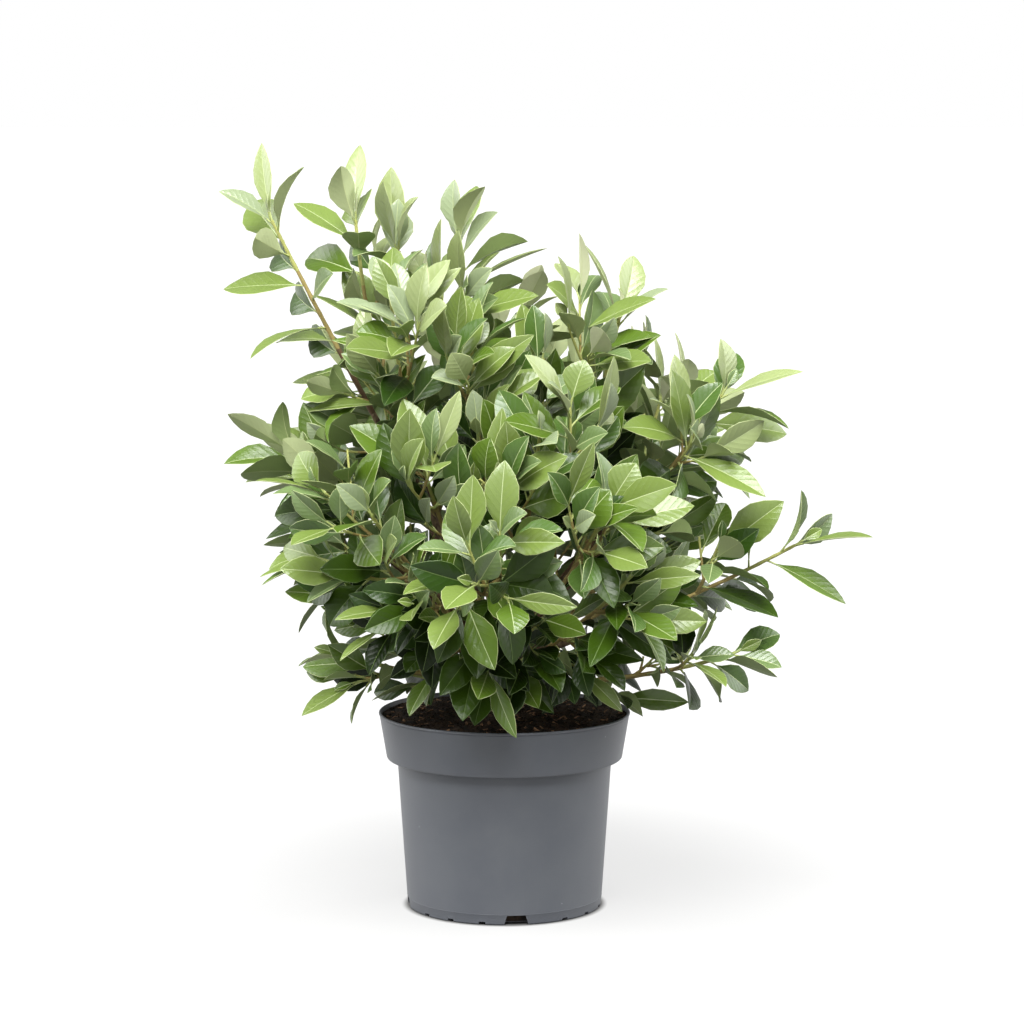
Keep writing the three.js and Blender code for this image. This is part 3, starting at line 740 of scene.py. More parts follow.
# Twigs: this year's and last year's shoots inside each mass, branching by the golden angle. They are
# brown where they leave the old wood, then buff, and yellow-green at the growing tips.
GOLDEN_ANGLE = 137.5
TRIES = 9
LEAF_START = 0.2
SIDE_TWIG_RADIUS, SIDE_TWIG_LIFT, SIDE_TWIG_OPENING = 1.5, 0.2, (36, 52)
SIDE_TWIG_SHARES, SIDE_TWIG_MARGIN = (0.04, 0.74), 4
TWIGLET_RADIUS, TWIGLET_LIFT, TWIGLET_OPENING = 1.1, 0.15, 44
TWIGLET_SHARES = (0.35, 0.62)
TWIGLET_LENGTH = 0.55
SIDE_LENGTH_SPREAD, TWIGLET_LENGTH_SPREAD = (0.85, 1.15), (0.8, 1.15)
TESTED_FROM = 0.12
SHORTER, SHORTER_AFTER = 0.7, 4
SIDE_TRY_TURN, TWIGLET_TRY_TURN = 51, 63
TWIG_SIDES = 7
TWIG_LUMP_SCALE, TWIG_KNOBBLINESS = 260.0, 0.4 * MM
TWIG_ROUGHNESS = 0.7
TWIG_GRAIN = {"cloud_scale": 120.0, "grain_scale": 900.0, "grain_depth": 0.00025}
RUN_STEP, NODE_SWELLING = 4, 1.12
STRAYS = 8
SOIL_ROUGH = 1.3
OVER_RIM, ABOVE_RIM = 22, 3
TWIG_COLOURS = {"brown": (92, 70, 48), "buff": (146, 130, 78), "green": (162, 164, 94)}
# How far along a leader, or a shoot, each age of wood reaches
LEADER_AGES = {"brown": 0.35, "buff": 0.75, "green": 1}
SHOOT_AGES = {"buff": 0.55, "green": 1}
rim_mm = RIM_RADIUS / MM
soil_top_mm = trunk_foot - 0.3
Shoot = namedtuple("Shoot", "path start number kind radius")


def leader_segments():
    """The start and end of every piece of every leader, and the mass that each belongs to."""
    starts, ends, owners = [], [], []
    for index, stem in enumerate(STEMS):
        begin = max(stem.bough, LEAF_START)
        chain = [stem_path(stem).point(lerp(begin, 1, i / 3)) for i in range(4)]
        starts += chain[:-1]
        ends += chain[1:]
        owners += [index] * 3
    return np.array(starts), np.array(ends), np.array(owners)


SEGMENT_STARTS, SEGMENT_ENDS, SEGMENT_OWNERS = leader_segments()
SEGMENT_SPANS = SEGMENT_ENDS - SEGMENT_STARTS


def in_own_space(point, index, margin):
    """True where a point is nearer to its own mass's leader than to any other, by a margin."""
    away = np.array(point) - SEGMENT_STARTS
    share = (away * SEGMENT_SPANS).sum(1) / (SEGMENT_SPANS**2).sum(1)
    nearest = away - SEGMENT_SPANS * np.clip(share, 0, 1)[:, None]
    distance = np.sqrt((nearest**2).sum(1))
    own = SEGMENT_OWNERS == index
    return distance[own].min() + margin < distance[~own].min()


def clear_of_pot(point, margin):
    """True above the soil, above the rim, and outside the pot."""
    away = math.hypot(point.x, point.y)
    if away < rim_mm - OVER_RIM:
        return point.z > soil_top_mm + SOIL_ROUGH + margin
    return point.z > (POT_HEIGHT / MM + ABOVE_RIM if away < rim_mm + OVER_RIM else 0)


def fits(points, index, margin):
    """True where all points are in their own mass's space and clear of the pot."""
    return all(clear_of_pot(p, 1) and in_own_space(p, index, margin) for p in points)


class Taken:
    """What has grown so far, kept by place, so that a new twig or leaf is tested against what is near."""

    CELL = 45

    def __init__(self):
        self.cells = defaultdict(list)

    def around(self, points):
        low = [math.floor(min(p[k] for p in points) / self.CELL) for k in range(3)]
        high = [math.floor(max(p[k] for p in points) / self.CELL) for k in range(3)]
        spans = [range(a, b + 1) for a, b in zip(low, high)]
        return [(x, y, z) for x in spans[0] for y in spans[1] for z in spans[2]]

    def add(self, points, faces, owner):
        entry = (BVHTree.FromPolygons(points, faces), owner)
        for cell in self.around(points):
            self.cells[cell].append(entry)

    def meets(self, points, faces, but_for=None):
        tree = BVHTree.FromPolygons(points, faces)
        near = {id(e): e for cell in self.around(points) for e in self.cells.get(cell, ())}
        return any(owner != but_for and tree.overlap(other) for other, owner in near.values())


def rod(path, from_share, to_share, radius_from, radius_to, steps=5):
    """A plain four-sided stand-in for a limb or twig, for testing what is in the way."""
    points, faces = [], []
    for ring in range(steps + 1):
        share = lerp(from_share, to_share, ring / steps)
        tangent = path.tangent(share)
        side = square_to(UP if abs(tangent.z) < 0.95 else Vector((1, 0, 0)), tangent)
        other = tangent.cross(side)
        radius = lerp(radius_from, radius_to, ring / steps)
        points += [path.point(share) + v * radius for v in (side, other, -side, -other)]
    for ring in range(steps):
        faces += band(ring * 4, ring * 4 + 4, 4)
    return points, faces


taken = Taken()
taken.add(*rod(trunk_path, 0, 1, trunk_radius(0.1), trunk_radius(1)), "trunk")
for stem in boughs:
    taken.add(*rod(stem_path(stem), 0, stem.bough, stem.girth, LIMB_TIP_RADIUS), f"bough_{stem.name}")
for stem in STEMS:
    taken.add(*rod(stem_path(stem), stem.bough, 1, LIMB_TIP_RADIUS, TWIG_TIP_RADIUS), stem.name)


def side_twig(index, stem, parent, share, length, turn, open_angle, lift, number, kind, radius):
    """A twig that leaves its parent at one place, if it fits there."""
    start = parent.point(share)
    tangent = parent.tangent(share)
    outward = turned_about(square_to(UP, tangent), tangent, turn)
    a = math.radians(open_angle)
    heading = tangent * math.cos(a) + outward * math.sin(a)
    middle = start + heading * length * 0.5
    end = middle + heading * length * 0.5 + UP * length * lift
    if not fits([middle, end], index, SIDE_TWIG_MARGIN if kind == "side" else 0):
        return None
    path = Path(start, middle, end)
    stand_in = rod(path, TESTED_FROM, 1, radius, TWIG_TIP_RADIUS, 3)
    if taken.meets(*stand_in, but_for=stem.name):
        return None
    taken.add(*stand_in, stem.name)
    return Shoot(path, 0, number, kind, radius)


def grow_twigs(index, stem):
    """The leader, its side twigs, and the twiglets on those. Each is tried at several turns."""
    begin = max(stem.bough, LEAF_START)
    leader = stem_path(stem)
    shoots = [Shoot(leader, begin, 0, "leader", LIMB_TIP_RADIUS)]
    for k in range(1, stem.twigs + 1):
        share = lerp(begin, 1, lerp(*SIDE_TWIG_SHARES, (k - 0.5) / stem.twigs))
        reach = min(stem.spread, leader.length * (1 - begin)) * between(*SIDE_LENGTH_SPREAD, index, k, 1)
        opening = between(*SIDE_TWIG_OPENING, index, k, 2)
        for attempt in range(TRIES):
            turn = k * GOLDEN_ANGLE + 360 * chance(index, 7) + attempt * SIDE_TRY_TURN
            length = reach * (1 if attempt < SHORTER_AFTER else SHORTER)
            place = (leader, share, length, turn, opening, SIDE_TWIG_LIFT)
            grown = side_twig(index, stem, *place, k, "side", SIDE_TWIG_RADIUS)
            if grown:
                shoots.append(grown)
                break
    for side in [shoot for shoot in shoots if shoot.kind == "side"]:
        for order, share in enumerate(TWIGLET_SHARES, start=1):
            number = side.number * 10 + order
            length = side.path.length * TWIGLET_LENGTH
            length *= between(*TWIGLET_LENGTH_SPREAD, index, number, 3)
            for attempt in range(TRIES):
                turn = number * GOLDEN_ANGLE + attempt * TWIGLET_TRY_TURN
                place = (side.path, share, length, turn, TWIGLET_OPENING, TWIGLET_LIFT)
                grown = side_twig(index, stem, *place, number, "twiglet", TWIGLET_RADIUS)
                if grown:
                    shoots.append(grown)
                    break
    return shoots


def twig_tree():
    """A round, slightly knobbly twig along every curve, as thick as the curve's own radius says."""
    given_sockets = [
        ("Curves", "NodeSocketGeometry", None),
        ("Sides", "NodeSocketInt", 6),
        ("Knobbliness", "NodeSocketFloat", 0.0001),
        ("Material", "NodeSocketMaterial", None),
    ]
    made = [("Twigs", "NodeSocketGeometry")]
    tree, given, out = new_group("twig_along_curve", "GeometryNodeTree", given_sockets, made)
    section = add_node(tree, "GeometryNodeCurvePrimitiveCircle", Radius=1.0)
    tube = add_node(tree, "GeometryNodeCurveToMesh", Fill_Caps=True)
    thickness = add_node(tree, "GeometryNodeInputRadius")
    lumps = uneven_offset(tree, TWIG_LUMP_SCALE)
    sized = add_node(tree, "ShaderNodeVectorMath", operation="SCALE")
    knobbly = add_node(tree, "GeometryNodeSetPosition")
    smooth = add_node(tree, "GeometryNodeSetShadeSmooth")
    real = add_node(tree, "GeometryNodeRealizeInstances")
    finish = add_node(tree, "GeometryNodeSetMaterial")
    wire(
        tree,
        (thickness, "Radius", tube, "Scale"),
        (given, "Sides", section, "Resolution"),
        (given, "Curves", tube, "Curve"),
        (section, "Curve", tube, "Profile Curve"),
        (lumps, "Vector", sized, 0),
        (given, "Knobbliness", sized, "Scale"),
        (tube, "Mesh", knobbly, "Geometry"),
        (sized, "Vector", knobbly, "Offset"),
        (knobbly, "Geometry", smooth, "Geometry"),
        (smooth, "Geometry", real, "Geometry"),
        (real, "Geometry", finish, "Geometry"),
        (given, "Material", finish, "Material"),
        (finish, "Geometry", out, "Twigs"),
    )
    return tree


def twig_material(age, colour):
    """Thin young bark of one age."""
    material, shader = new_material(f"twig_{age}", colour, TWIG_ROUGHNESS, Specular_IOR_Level=0.3)
    add_grain(material.node_tree, shader, **TWIG_GRAIN)
    return material


def twig_piece(age, runs):
    """The twigs of one age. Each run is a list of points and radii along one stretch."""
    curve = bpy.data.curves.new(f"twigs_{age}", "CURVE")
    curve.dimensions = "3D"
    for run in runs:
        spline = curve.splines.new("POLY")
        spline.points.add(len(run) - 1)
        for place, (point, radius) in zip(spline.points, run):
            place.co = (*(point * MM), 1)
            place.radius = radius * MM
    drawn = bpy.data.objects.new(f"drawn_{age}", curve)
    bpy.context.scene.collection.objects.link(drawn)
    tube = drawn.modifiers.new("tube", "NODES")
    tube.node_group = TWIG_TREE
    for label, value in (
        ("Sides", TWIG_SIDES),
        ("Knobbliness", TWIG_KNOBBLINESS),
        ("Material", twig_material(age, TWIG_COLOURS[age])),
    ):
        set_input(tube, label, value)
    graph = bpy.context.evaluated_depsgraph_get()
    made = bpy.data.meshes.new_from_object(drawn.evaluated_get(graph), depsgraph=graph)
    piece = bpy.data.objects.new(f"twigs_{age}", made)
    bpy.context.scene.collection.objects.link(piece)
    bpy.data.objects.remove(drawn)
    return piece


def run_along(path, from_share, to_share, radius_at):
    """Points and radii along one stretch of a twig, with a swelling at every few millimetres."""
    count = max(3, round(path.length * (to_share - from_share) / RUN_STEP))
    shares = [lerp(from_share, to_share, i / count) for i in range(count + 1)]
    swellings = [NODE_SWELLING if i % 3 == 1 else 1 for i in range(count + 1)]
    return [(path.point(s), radius_at(s) * swelling) for s, swelling in zip(shares, swellings)]


shoots_of = {stem.name: grow_twigs(index, stem) for index, stem in enumerate(STEMS)}
TWIG_TREE = twig_tree()
twig_runs = {age: [] for age in TWIG_COLOURS}
for stem in STEMS:
    for shoot in shoots_of[stem.name]:
        if shoot.kind == "leader":
            radius_at = lambda share, s=stem: stem_radius(s, share)
            begin, ages = stem.bough, LEADER_AGES
        else:
            radius_at = lambda share, r=shoot.radius: lerp(r, SHOOT_END_RADIUS, share)
            begin, ages = 0, SHOOT_AGES
        low = begin
        for age, reach in ages.items():
            high = lerp(begin, 1, reach)
            twig_runs[age].append(run_along(shoot.path, low, high, radius_at))
            low = high
for age, runs in twig_runs.items():
    piece = twig_piece(age, runs)
    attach(piece, "root")

# Leaves: leathery evergreen blades on short stalks, crowded towards each tip, satin green above and
# silvery sage below, with a pale midrib and a thin pale margin. Each is one closed blade on its stalk.
LEAF_LENGTH, LENGTH_SPREAD = 55, (0.66, 1.14)
LEAF_WIDTH, WIDTH_SPREAD = 25.5, (0.78, 1.16)
LEAF_WIDEST, LEAF_NARROWEST = 0.52, 0.6
FOOT_TAPER, TIP_FULLNESS = 1.2, 0.88
LEAF_STALK = 7
LEAF_FOLD, FOLD_SPREAD = 14, (0.5, 1.5)
LEAF_DROOP, DROOP_SPREAD = 26, (0.3, 1.6)
LEAF_ROLL = 46
LEAF_CURL, CURL_FROM, CURL_DROP = 5, 0.7, 9
LEAF_WAVE, WAVES = 0.9, 9
LEAF_OPENING, OPENING_GROWTH, WIDEST_OPENING, OPENING_STRAY = 16, 11, 62, 8
FACE_UP, FACE_OUT = 0.7, 1.1
LIGHT_SIDE = Vector((0, -0.45, 0))
SHOOT_TURN, LEAF_TRY_TURN = 77, 47
LEAF_FIRST_GAP = 2.6
LEAF_GAP_GROWTH = 2.1
LEAF_SPACING = 9.6
FIRST_LEAF, BUD_GAP = 0.3, 0.4
LEAFY_LEADER, LEAFY_TWIG = 0.97, 0.85
TIP_LEAF_SIZE, SIZE_GROWTH, TWIGLET_LEAF_SIZE, BUD_SIZE = 0.84, 0.06, 0.86, 0.42
ROUND_LEAVES, ROUND_LENGTH, ROUND_WIDTH = 0.1, 0.74, 1.2
BARE_BELOW, BARE_WITHIN, BARE_GAP = 264, 120, 2
LEAF_STATIONS = (0, 0.1, 0.27, 0.46, 0.64, 0.8, 0.93, 1)
RIB_HALF_WIDTH, BLADE_THICKNESS = (0.42, 0.14), (0.5, 0.25)
BLADE_ARCH, ARCH_PLACE = (0.28, 0.055), 0.52
MARGIN_WIDTH, MARGIN_LIFT = 0.35, 0.3
ROOT_DEPTH = 0.4
STALK_RADII = (1.05, 0.8, 0.7)
LEAF_CREASE = 17
VEIN_PAIRS, VEIN_SLANT, VEIN_SHARPNESS, VEIN_DEPTH = 8.0, 5.0, 0.35, 0.0002
SKIN_SCALE, SKIN_DEPTH = 420.0, 0.00018
# Upper colours by level of painted light: the darkest are painted shade inside the crown, the palest are
# painted light in the open and high up, and young leaves get them too
UPPER_COLOURS = {
    "deep": (20, 35, 2),
    "dark": (43, 64, 8),
    "dark_cool": (37, 60, 13),
    "green": (76, 100, 28),
    "green_cool": (67, 93, 36),
    "fresh": (102, 121, 55),
    "fresh_cool": (95, 115, 68),
    "young": (133, 146, 94),
    "silvery": (129, 142, 108),
}
# Levels of painted light, from painted deep shade up: a warm colour, a cool one, and how strongly the blade
# shines
LEVELS = (
    ("deep", "deep", 0.12),
    ("dark", "dark_cool", 0.24),
    ("green", "green_cool", 0.42),
    ("fresh", "fresh_cool", 0.5),
    ("young", "silvery", 0.5),
)
COOL_SHARE = 0.45
# Undersides by the same reckoning: sage where it gives painted shade, pale and cream where painted light,
# youth and chance add up to more
UNDER_COLOURS = {"sage": (145, 163, 105), "pale": (181, 191, 143), "cream": (213, 216, 181)}
# Rib and margin each in a shaded and a sunlit copy, as painted shade and painted light
RIB_COLOURS = {"shaded": (84, 106, 48), "sunlit": (158, 170, 122)}
MARGIN_COLOURS = {"shaded": (72, 94, 38), "sunlit": (154, 164, 112)}
UNDER_RIB_COLOUR = (196, 204, 150)
STALK_COLOUR = (160, 170, 102)
UPPER_ROUGHNESS, UNDER_ROUGHNESS, RIB_ROUGHNESS = 0.3, 0.62, 0.5
UNDER_RIB_ROUGHNESS, STALK_ROUGHNESS = 0.6, 0.55
# How the painted light and shade in a leaf's colour is reckoned, from the open sky that it sees, its youth,
# chance and its height. Little open sky gives painted shade, on top of the darker green of real shade
# leaves, and height gives painted light towards the top
SKY_HEIGHTS = (15, 45, 75)
SKY_AZIMUTHS = range(0, 360, 45)
SKY_REACH, SKY_START = 260, 7
OPEN_SKY = 0.34
LIT_BY = {"sky": 0.95, "youth": 0.2, "luck": 0.36, "top": 0.24}
CROWN_FOOT, CROWN_DEPTH, CROWN_MIDDLE = 180, 270, 0.65
LEAST_LIT, LEVELS_PER_LIT = 0.1, 6.6
PALE_FROM, CREAM_FROM, SUNLIT_LEVEL = 0.56, 0.76, 2
YOUNG_COUNT, SHARED_LUCK = 4, 0.25


def vein_group():
    """Side veins that run from the midrib forward to the margin, in each leaf's own coordinates, and the
    fine grain of its skin."""
    given_sockets = [
        ("Vein Depth", "NodeSocketFloat", VEIN_DEPTH),
        ("Skin Depth", "NodeSocketFloat", SKIN_DEPTH),
    ]
    made = [("Normal", "NodeSocketVector")]
    tree, given, out = new_group("leaf_veins", "ShaderNodeTree", given_sockets, made)
    uv = add_node(tree, "ShaderNodeUVMap")
    parts = add_node(tree, "ShaderNodeSeparateXYZ")

    def maths(operation, first, second=None):
        node = add_node(tree, "ShaderNodeMath", operation=operation)
        for socket, value in zip(node.inputs, (first, second)):
            if isinstance(value, bpy.types.NodeSocket):
                tree.links.new(value, socket)
            elif value is not None:
                socket.default_value = value
        return node.outputs["Value"]

    out_from_rib = maths("ABSOLUTE", maths("SUBTRACT", parts.outputs["Y"], 0.5))
    forward = maths("MULTIPLY", out_from_rib, VEIN_SLANT)
    slanted = maths("SUBTRACT", maths("MULTIPLY", parts.outputs["X"], VEIN_PAIRS), forward)
    ridge = maths("POWER", maths("PINGPONG", slanted, 0.5), VEIN_SHARPNESS)
    skin = add_node(tree, "ShaderNodeTexNoise", Scale=SKIN_SCALE, Detail=3.0)
    place = add_node(tree, "ShaderNodeTexCoord")
    veins = add_node(tree, "ShaderNodeBump", Strength=1.0)
    grain = add_node(tree, "ShaderNodeBump", Strength=1.0)
    tree.links.new(ridge, veins.inputs["Height"])
    wire(
        tree,
        (uv, "UV", parts, "Vector"),
        (place, "Object", skin, "Vector"),
        (given, "Vein Depth", veins, "Distance"),
        (skin, "Fac", grain, "Height"),
        (given, "Skin Depth", grain, "Distance"),
        (veins, "Normal", grain, "Normal"),
        (grain, "Normal", out, "Normal"),
    )
    return tree


LEAF_VEINS = vein_group()


def leaf_material(name, colour, roughness, vein_depth, **constants):
    """One plain colour of leaf, with the veins and the skin's grain in relief."""
    material, shader = new_material(name, colour, roughness, **constants)
    tree = material.node_tree
    node = add_node(tree, "ShaderNodeGroup", node_tree=LEAF_VEINS, Vein_Depth=vein_depth)
    wire(tree, (node, "Normal", shader, "Normal"))
    return material


shine_of = {name: shine for *names, shine in LEVELS for name in names}
leaf_materials = [
    leaf_material(f"leaf_{name}", colour, UPPER_ROUGHNESS, VEIN_DEPTH, Specular_IOR_Level=shine_of[name])
    for name, colour in UPPER_COLOURS.items()
]
leaf_materials += [
    leaf_material(f"leaf_under_{shade}", colour, UNDER_ROUGHNESS, VEIN_DEPTH / 2, Specular_IOR_Level=0.25)
    for shade, colour in UNDER_COLOURS.items()
]
leaf_materials += [
    leaf_material(f"leaf_{part}_{light}", colour, RIB_ROUGHNESS, 0.0)
    for part, colours in (("rib", RIB_COLOURS), ("margin", MARGIN_COLOURS))
    for light, colour in colours.items()
]
leaf_materials.append(leaf_material("leaf_under_rib", UNDER_RIB_COLOUR, UNDER_RIB_ROUGHNESS, 0.0))
leaf_materials.append(leaf_material("leaf_stalk", STALK_COLOUR, STALK_ROUGHNESS, 0.0))
SLOT = {material.name: i for i, material in enumerate(leaf_materials)}
Leaf = namedtuple("Leaf", "foot along face length width droop fold curl wave youth luck cool")


def half_width(share, leaf_width):
    """Half a blade's width along its length: oval, narrowed to its foot and full to a blunt point."""
    full = math.sin(math.pi * share ** (math.log(0.5) / math.log(LEAF_WIDEST)))
    taper = FOOT_TAPER if share < LEAF_WIDEST else TIP_FULLNESS
    return max(LEAF_NARROWEST, leaf_width / 2 * full**taper)


def on_leaf(leaf, distance, outward, lift):
    """Points on a leaf, as arrays: along its arched midrib, out to a side where the blade is folded up,
    and off its surface."""
    span = leaf.length + LEAF_STALK
    share = distance / span
    past_curl = np.maximum(0, share - CURL_FROM)
    arc_bend = leaf.droop * share
    bend = arc_bend + leaf.curl * past_curl**2
    radius = span / leaf.droop
    along, face = np.array(leaf.along), np.array(leaf.face)
    across = np.cross(along, face)
    face_here = face * np.cos(bend)[:, None] + along * np.sin(bend)[:, None]
    away = np.abs(outward)
    ripple = leaf.wave * np.sin(share * WAVES + leaf.length) * (2 * away / leaf.width) ** 2
    off = away * math.sin(leaf.fold) + lift + ripple
    middle = np.array(leaf.foot) + along * (radius * np.sin(arc_bend))[:, None]
    middle = middle - face * (radius * (1 - np.cos(arc_bend)))[:, None]
    middle = middle - face * (leaf.curl * CURL_DROP * past_curl**3)[:, None]
    return middle + across * (outward * math.cos(leaf.fold))[:, None] + face_here * off[:, None]


def blade_net(leaf):
    """A coarse blade for testing what is in the way: its outline at a few places and its midrib."""
    shares = np.array([0.2, 0.5, 0.8])
    distances = LEAF_STALK + leaf.length * shares
    widths = np.array([half_width(s, leaf.width) for s in shares])
    ends = on_leaf(leaf, np.array([LEAF_STALK, LEAF_STALK + leaf.length]), np.zeros(2), np.zeros(2))
    rib = on_leaf(leaf, distances, np.zeros(3), np.zeros(3))
    left = on_leaf(leaf, distances, -widths, np.zeros(3))
    right = on_leaf(leaf, distances, widths, np.zeros(3))
    points = [Vector(p) for p in np.concatenate([ends[:1], rib, ends[1:], left, right])]
    faces = []
    for side in (5, 8):
        faces += [(0, 1, side), (1, 2, side + 1, side), (2, 3, side + 2, side + 1), (3, 4, side + 2)]
    return points, faces


def leaf_template():
    """The faces of one blade and its stalk, and what part of the leaf each face is."""
    names = ["under", "under_rib", "under", "margin", "upper", "upper", "rib", "upper", "upper", "margin"]
    ring, rings = len(names), len(LEAF_STATIONS) - 1
    tip = ring * rings
    faces = []
    for row in range(rings - 1):
        faces += band(row * ring, (row + 1) * ring, ring)
    faces += [(tip - ring + i, tip - ring + (i + 1) % ring, tip) for i in range(ring)]
    faces.append(list(reversed(range(ring))))
    stalk = tip + 1
    faces += band(stalk, stalk + 4, 4) + band(stalk + 4, stalk + 8, 4)
    faces += [(stalk + 3, stalk + 2, stalk + 1, stalk), (stalk + 8, stalk + 9, stalk + 10, stalk + 11)]
    kinds = names * rings
    return faces, kinds + ["stalk"] * (len(faces) - len(kinds))


LEAF_FACES, LEAF_KINDS = leaf_template()


def leaf_points(leaf):
    """All points of one leaf, with where each lies on the blade for its veins."""
    rows = []
    for share in LEAF_STATIONS[:-1]:
        w = half_width(share, leaf.width)
        rib = min(lerp(*RIB_HALF_WIDTH, share), w * 0.45)
        thick = lerp(*BLADE_THICKNESS, share)
        edge = min(MARGIN_WIDTH, w * 0.3)
        arch = BLADE_ARCH[0] + BLADE_ARCH[1] * w
        below = [(-w, 0), (-rib, -thick), (rib, -thick), (w, 0)]
        above = [(w - edge, MARGIN_LIFT), (w * ARCH_PLACE, arch), (rib, thick * 0.7)]
        back = [(-outward, lift) for outward, lift in reversed(above)]
        distance = LEAF_STALK + leaf.length * share
        rows += [(distance, outward, lift) for outward, lift in below + above + back]
    rows.append((LEAF_STALK + leaf.length, 0, 0))
    for distance, r in zip((-ROOT_DEPTH, LEAF_STALK * 0.5, LEAF_STALK + 0.5), STALK_RADII):
        rows += [(distance, outward, lift) for outward, lift in ((-r, 0), (0, -r), (r, 0), (0, r))]
    rows = np.array(rows, float)
    points = on_leaf(leaf, rows[:, 0], rows[:, 1], rows[:, 2])
    flat = np.stack([(rows[:, 0] - LEAF_STALK) / leaf.length, 0.5 + rows[:, 1] / leaf.width], axis=1)
    return points, flat


SKY_RAYS = [
    placed_at(azimuth, math.cos(math.radians(height)), math.sin(math.radians(height)))
    for height in SKY_HEIGHTS
    for azimuth in SKY_AZIMUTHS
]


def sky_share(leaf, crown):
    """The share of the sky that a leaf sees past all the others, from the middle of its blade."""
    halfway = np.array([LEAF_STALK + leaf.length / 2])
    middle = Vector(on_leaf(leaf, halfway, np.zeros(1), np.zeros(1))[0])
    hits = [crown.ray_cast(middle + ray * SKY_START, ray, SKY_REACH)[0] for ray in SKY_RAYS]
    return hits.count(None) / len(SKY_RAYS)


def leaf_colours(leaf, sky):
    """The slots of one leaf's parts: painted shade makes it deep green inside the crown, where shade leaves
    are darker too, and painted light makes it paler in the open and high up, as youth does.
    """
    # Little open sky gives painted shade and height gives painted light; youth and chance are the leaf's
    # own
    top = min(1, max(0, (leaf.foot.z - CROWN_FOOT) / CROWN_DEPTH))
    lit = LIT_BY["sky"] * min(sky, OPEN_SKY) + LIT_BY["youth"] * leaf.youth
    lit += LIT_BY["luck"] * leaf.luck
    lit += LIT_BY["top"] * (top - CROWN_MIDDLE)
    level = min(len(LEVELS) - 1, max(0, int((lit - LEAST_LIT) * LEVELS_PER_LIT)))
    upper = LEVELS[level][leaf.cool]
    under = "sage" if lit < PALE_FROM else "pale" if lit < CREAM_FROM else "cream"
    light = "shaded" if level < SUNLIT_LEVEL else "sunlit"
    return {
        "upper": SLOT[f"leaf_{upper}"],
        "under": SLOT[f"leaf_under_{under}"],
        "rib": SLOT[f"leaf_rib_{light}"],
        "margin": SLOT[f"leaf_margin_{light}"],
        "under_rib": SLOT["leaf_under_rib"],
        "stalk": SLOT["leaf_stalk"],
    }


def leaf_at(index, stem, shoot, count, down, attempt):
    """One leaf, counted from its shoot's tip down: each turned on, and larger and more spread with age."""
    keys = (index, shoot.number, count)
    share = max(shoot.start, 1 - down / shoot.path.length)
    foot = shoot.path.point(share)
    tangent = shoot.path.tangent(share)
    turn = stem.turn + shoot.number * SHOOT_TURN + count * GOLDEN_ANGLE + attempt * LEAF_TRY_TURN
    opening = min(LEAF_OPENING + OPENING_GROWTH * count, WIDEST_OPENING)
    opening = math.radians(opening + between(-OPENING_STRAY, OPENING_STRAY, *keys, 4))
    outward = turned_about(square_to(UP, tangent), tangent, turn)
    along = tangent * math.cos(opening) + outward * math.sin(opening)
    sunward = Vector((foot.x, foot.y, 0)).normalized() + LIGHT_SIDE
    face = square_to(tangent + UP * FACE_UP + sunward * FACE_OUT, along)
    face = turned_about(face, along, between(-LEAF_ROLL, LEAF_ROLL, *keys, 12))
    size = stem.leaf * min(1, TIP_LEAF_SIZE + SIZE_GROWTH * count)
    size *= TWIGLET_LEAF_SIZE if shoot.kind == "twiglet" else 1
    size *= BUD_SIZE if count < 0 else 1
    rounded = chance(*keys, 9) < ROUND_LEAVES
    length = LEAF_LENGTH * size * between(*LENGTH_SPREAD, *keys, 5) * (ROUND_LENGTH if rounded else 1)
    width = LEAF_WIDTH * size * between(*WIDTH_SPREAD, *keys, 6) * (ROUND_WIDTH if rounded else 1)
    return Leaf(
        foot=foot,
        along=along,
        face=face,
        length=length,
        width=width,
        droop=math.radians(LEAF_DROOP * between(*DROOP_SPREAD, *keys, 8)),
        fold=math.radians(LEAF_FOLD * between(*FOLD_SPREAD, *keys, 9)),
        curl=between(0, LEAF_CURL, *keys, 10),
        wave=between(-LEAF_WAVE, LEAF_WAVE, *keys, 11),
        youth=max(0, 1 - count / YOUNG_COUNT),
        luck=lerp(chance(*keys, 21), chance(*keys[:2], 22), SHARED_LUCK),
        cool=chance(*keys, 23) < COOL_SHARE,
    )


def grow_leaves(index, stem):
    """Leaves on every shoot of one mass, tried at several turns until a blade is free of what is there.
    The tips of the longer shoots start with one small young leaf, whose count is -1."""
    grown = []
    for shoot in reversed(shoots_of[stem.name]):
        leafy = LEAFY_LEADER if shoot.kind == "leader" else LEAFY_TWIG
        leafy_length = shoot.path.length * (1 - shoot.start) * leafy
        down = FIRST_LEAF
        count = 0 if shoot.kind == "twiglet" else -1
        while down < leafy_length:
            for attempt in range(TRIES):
                leaf = leaf_at(index, stem, shoot, count, down, attempt)
                points, faces = blade_net(leaf)
                outline = [points[2], points[4], points[6], points[9]]
                if not fits(outline, index, -STRAYS) or taken.meets(points, faces):
                    continue
                taken.add(points, faces, f"leaf_{stem.name}")
                grown.append(leaf)
                break
            if count < 0:
                down += BUD_GAP
            else:
                bare = leaf.foot.z < BARE_BELOW and math.hypot(leaf.foot.x, leaf.foot.y) < BARE_WITHIN
                gap = stem.gap * (BARE_GAP if bare else 1)
                down += min(LEAF_SPACING, LEAF_FIRST_GAP + LEAF_GAP_GROWTH * count) * gap
            count += 1
    return grown


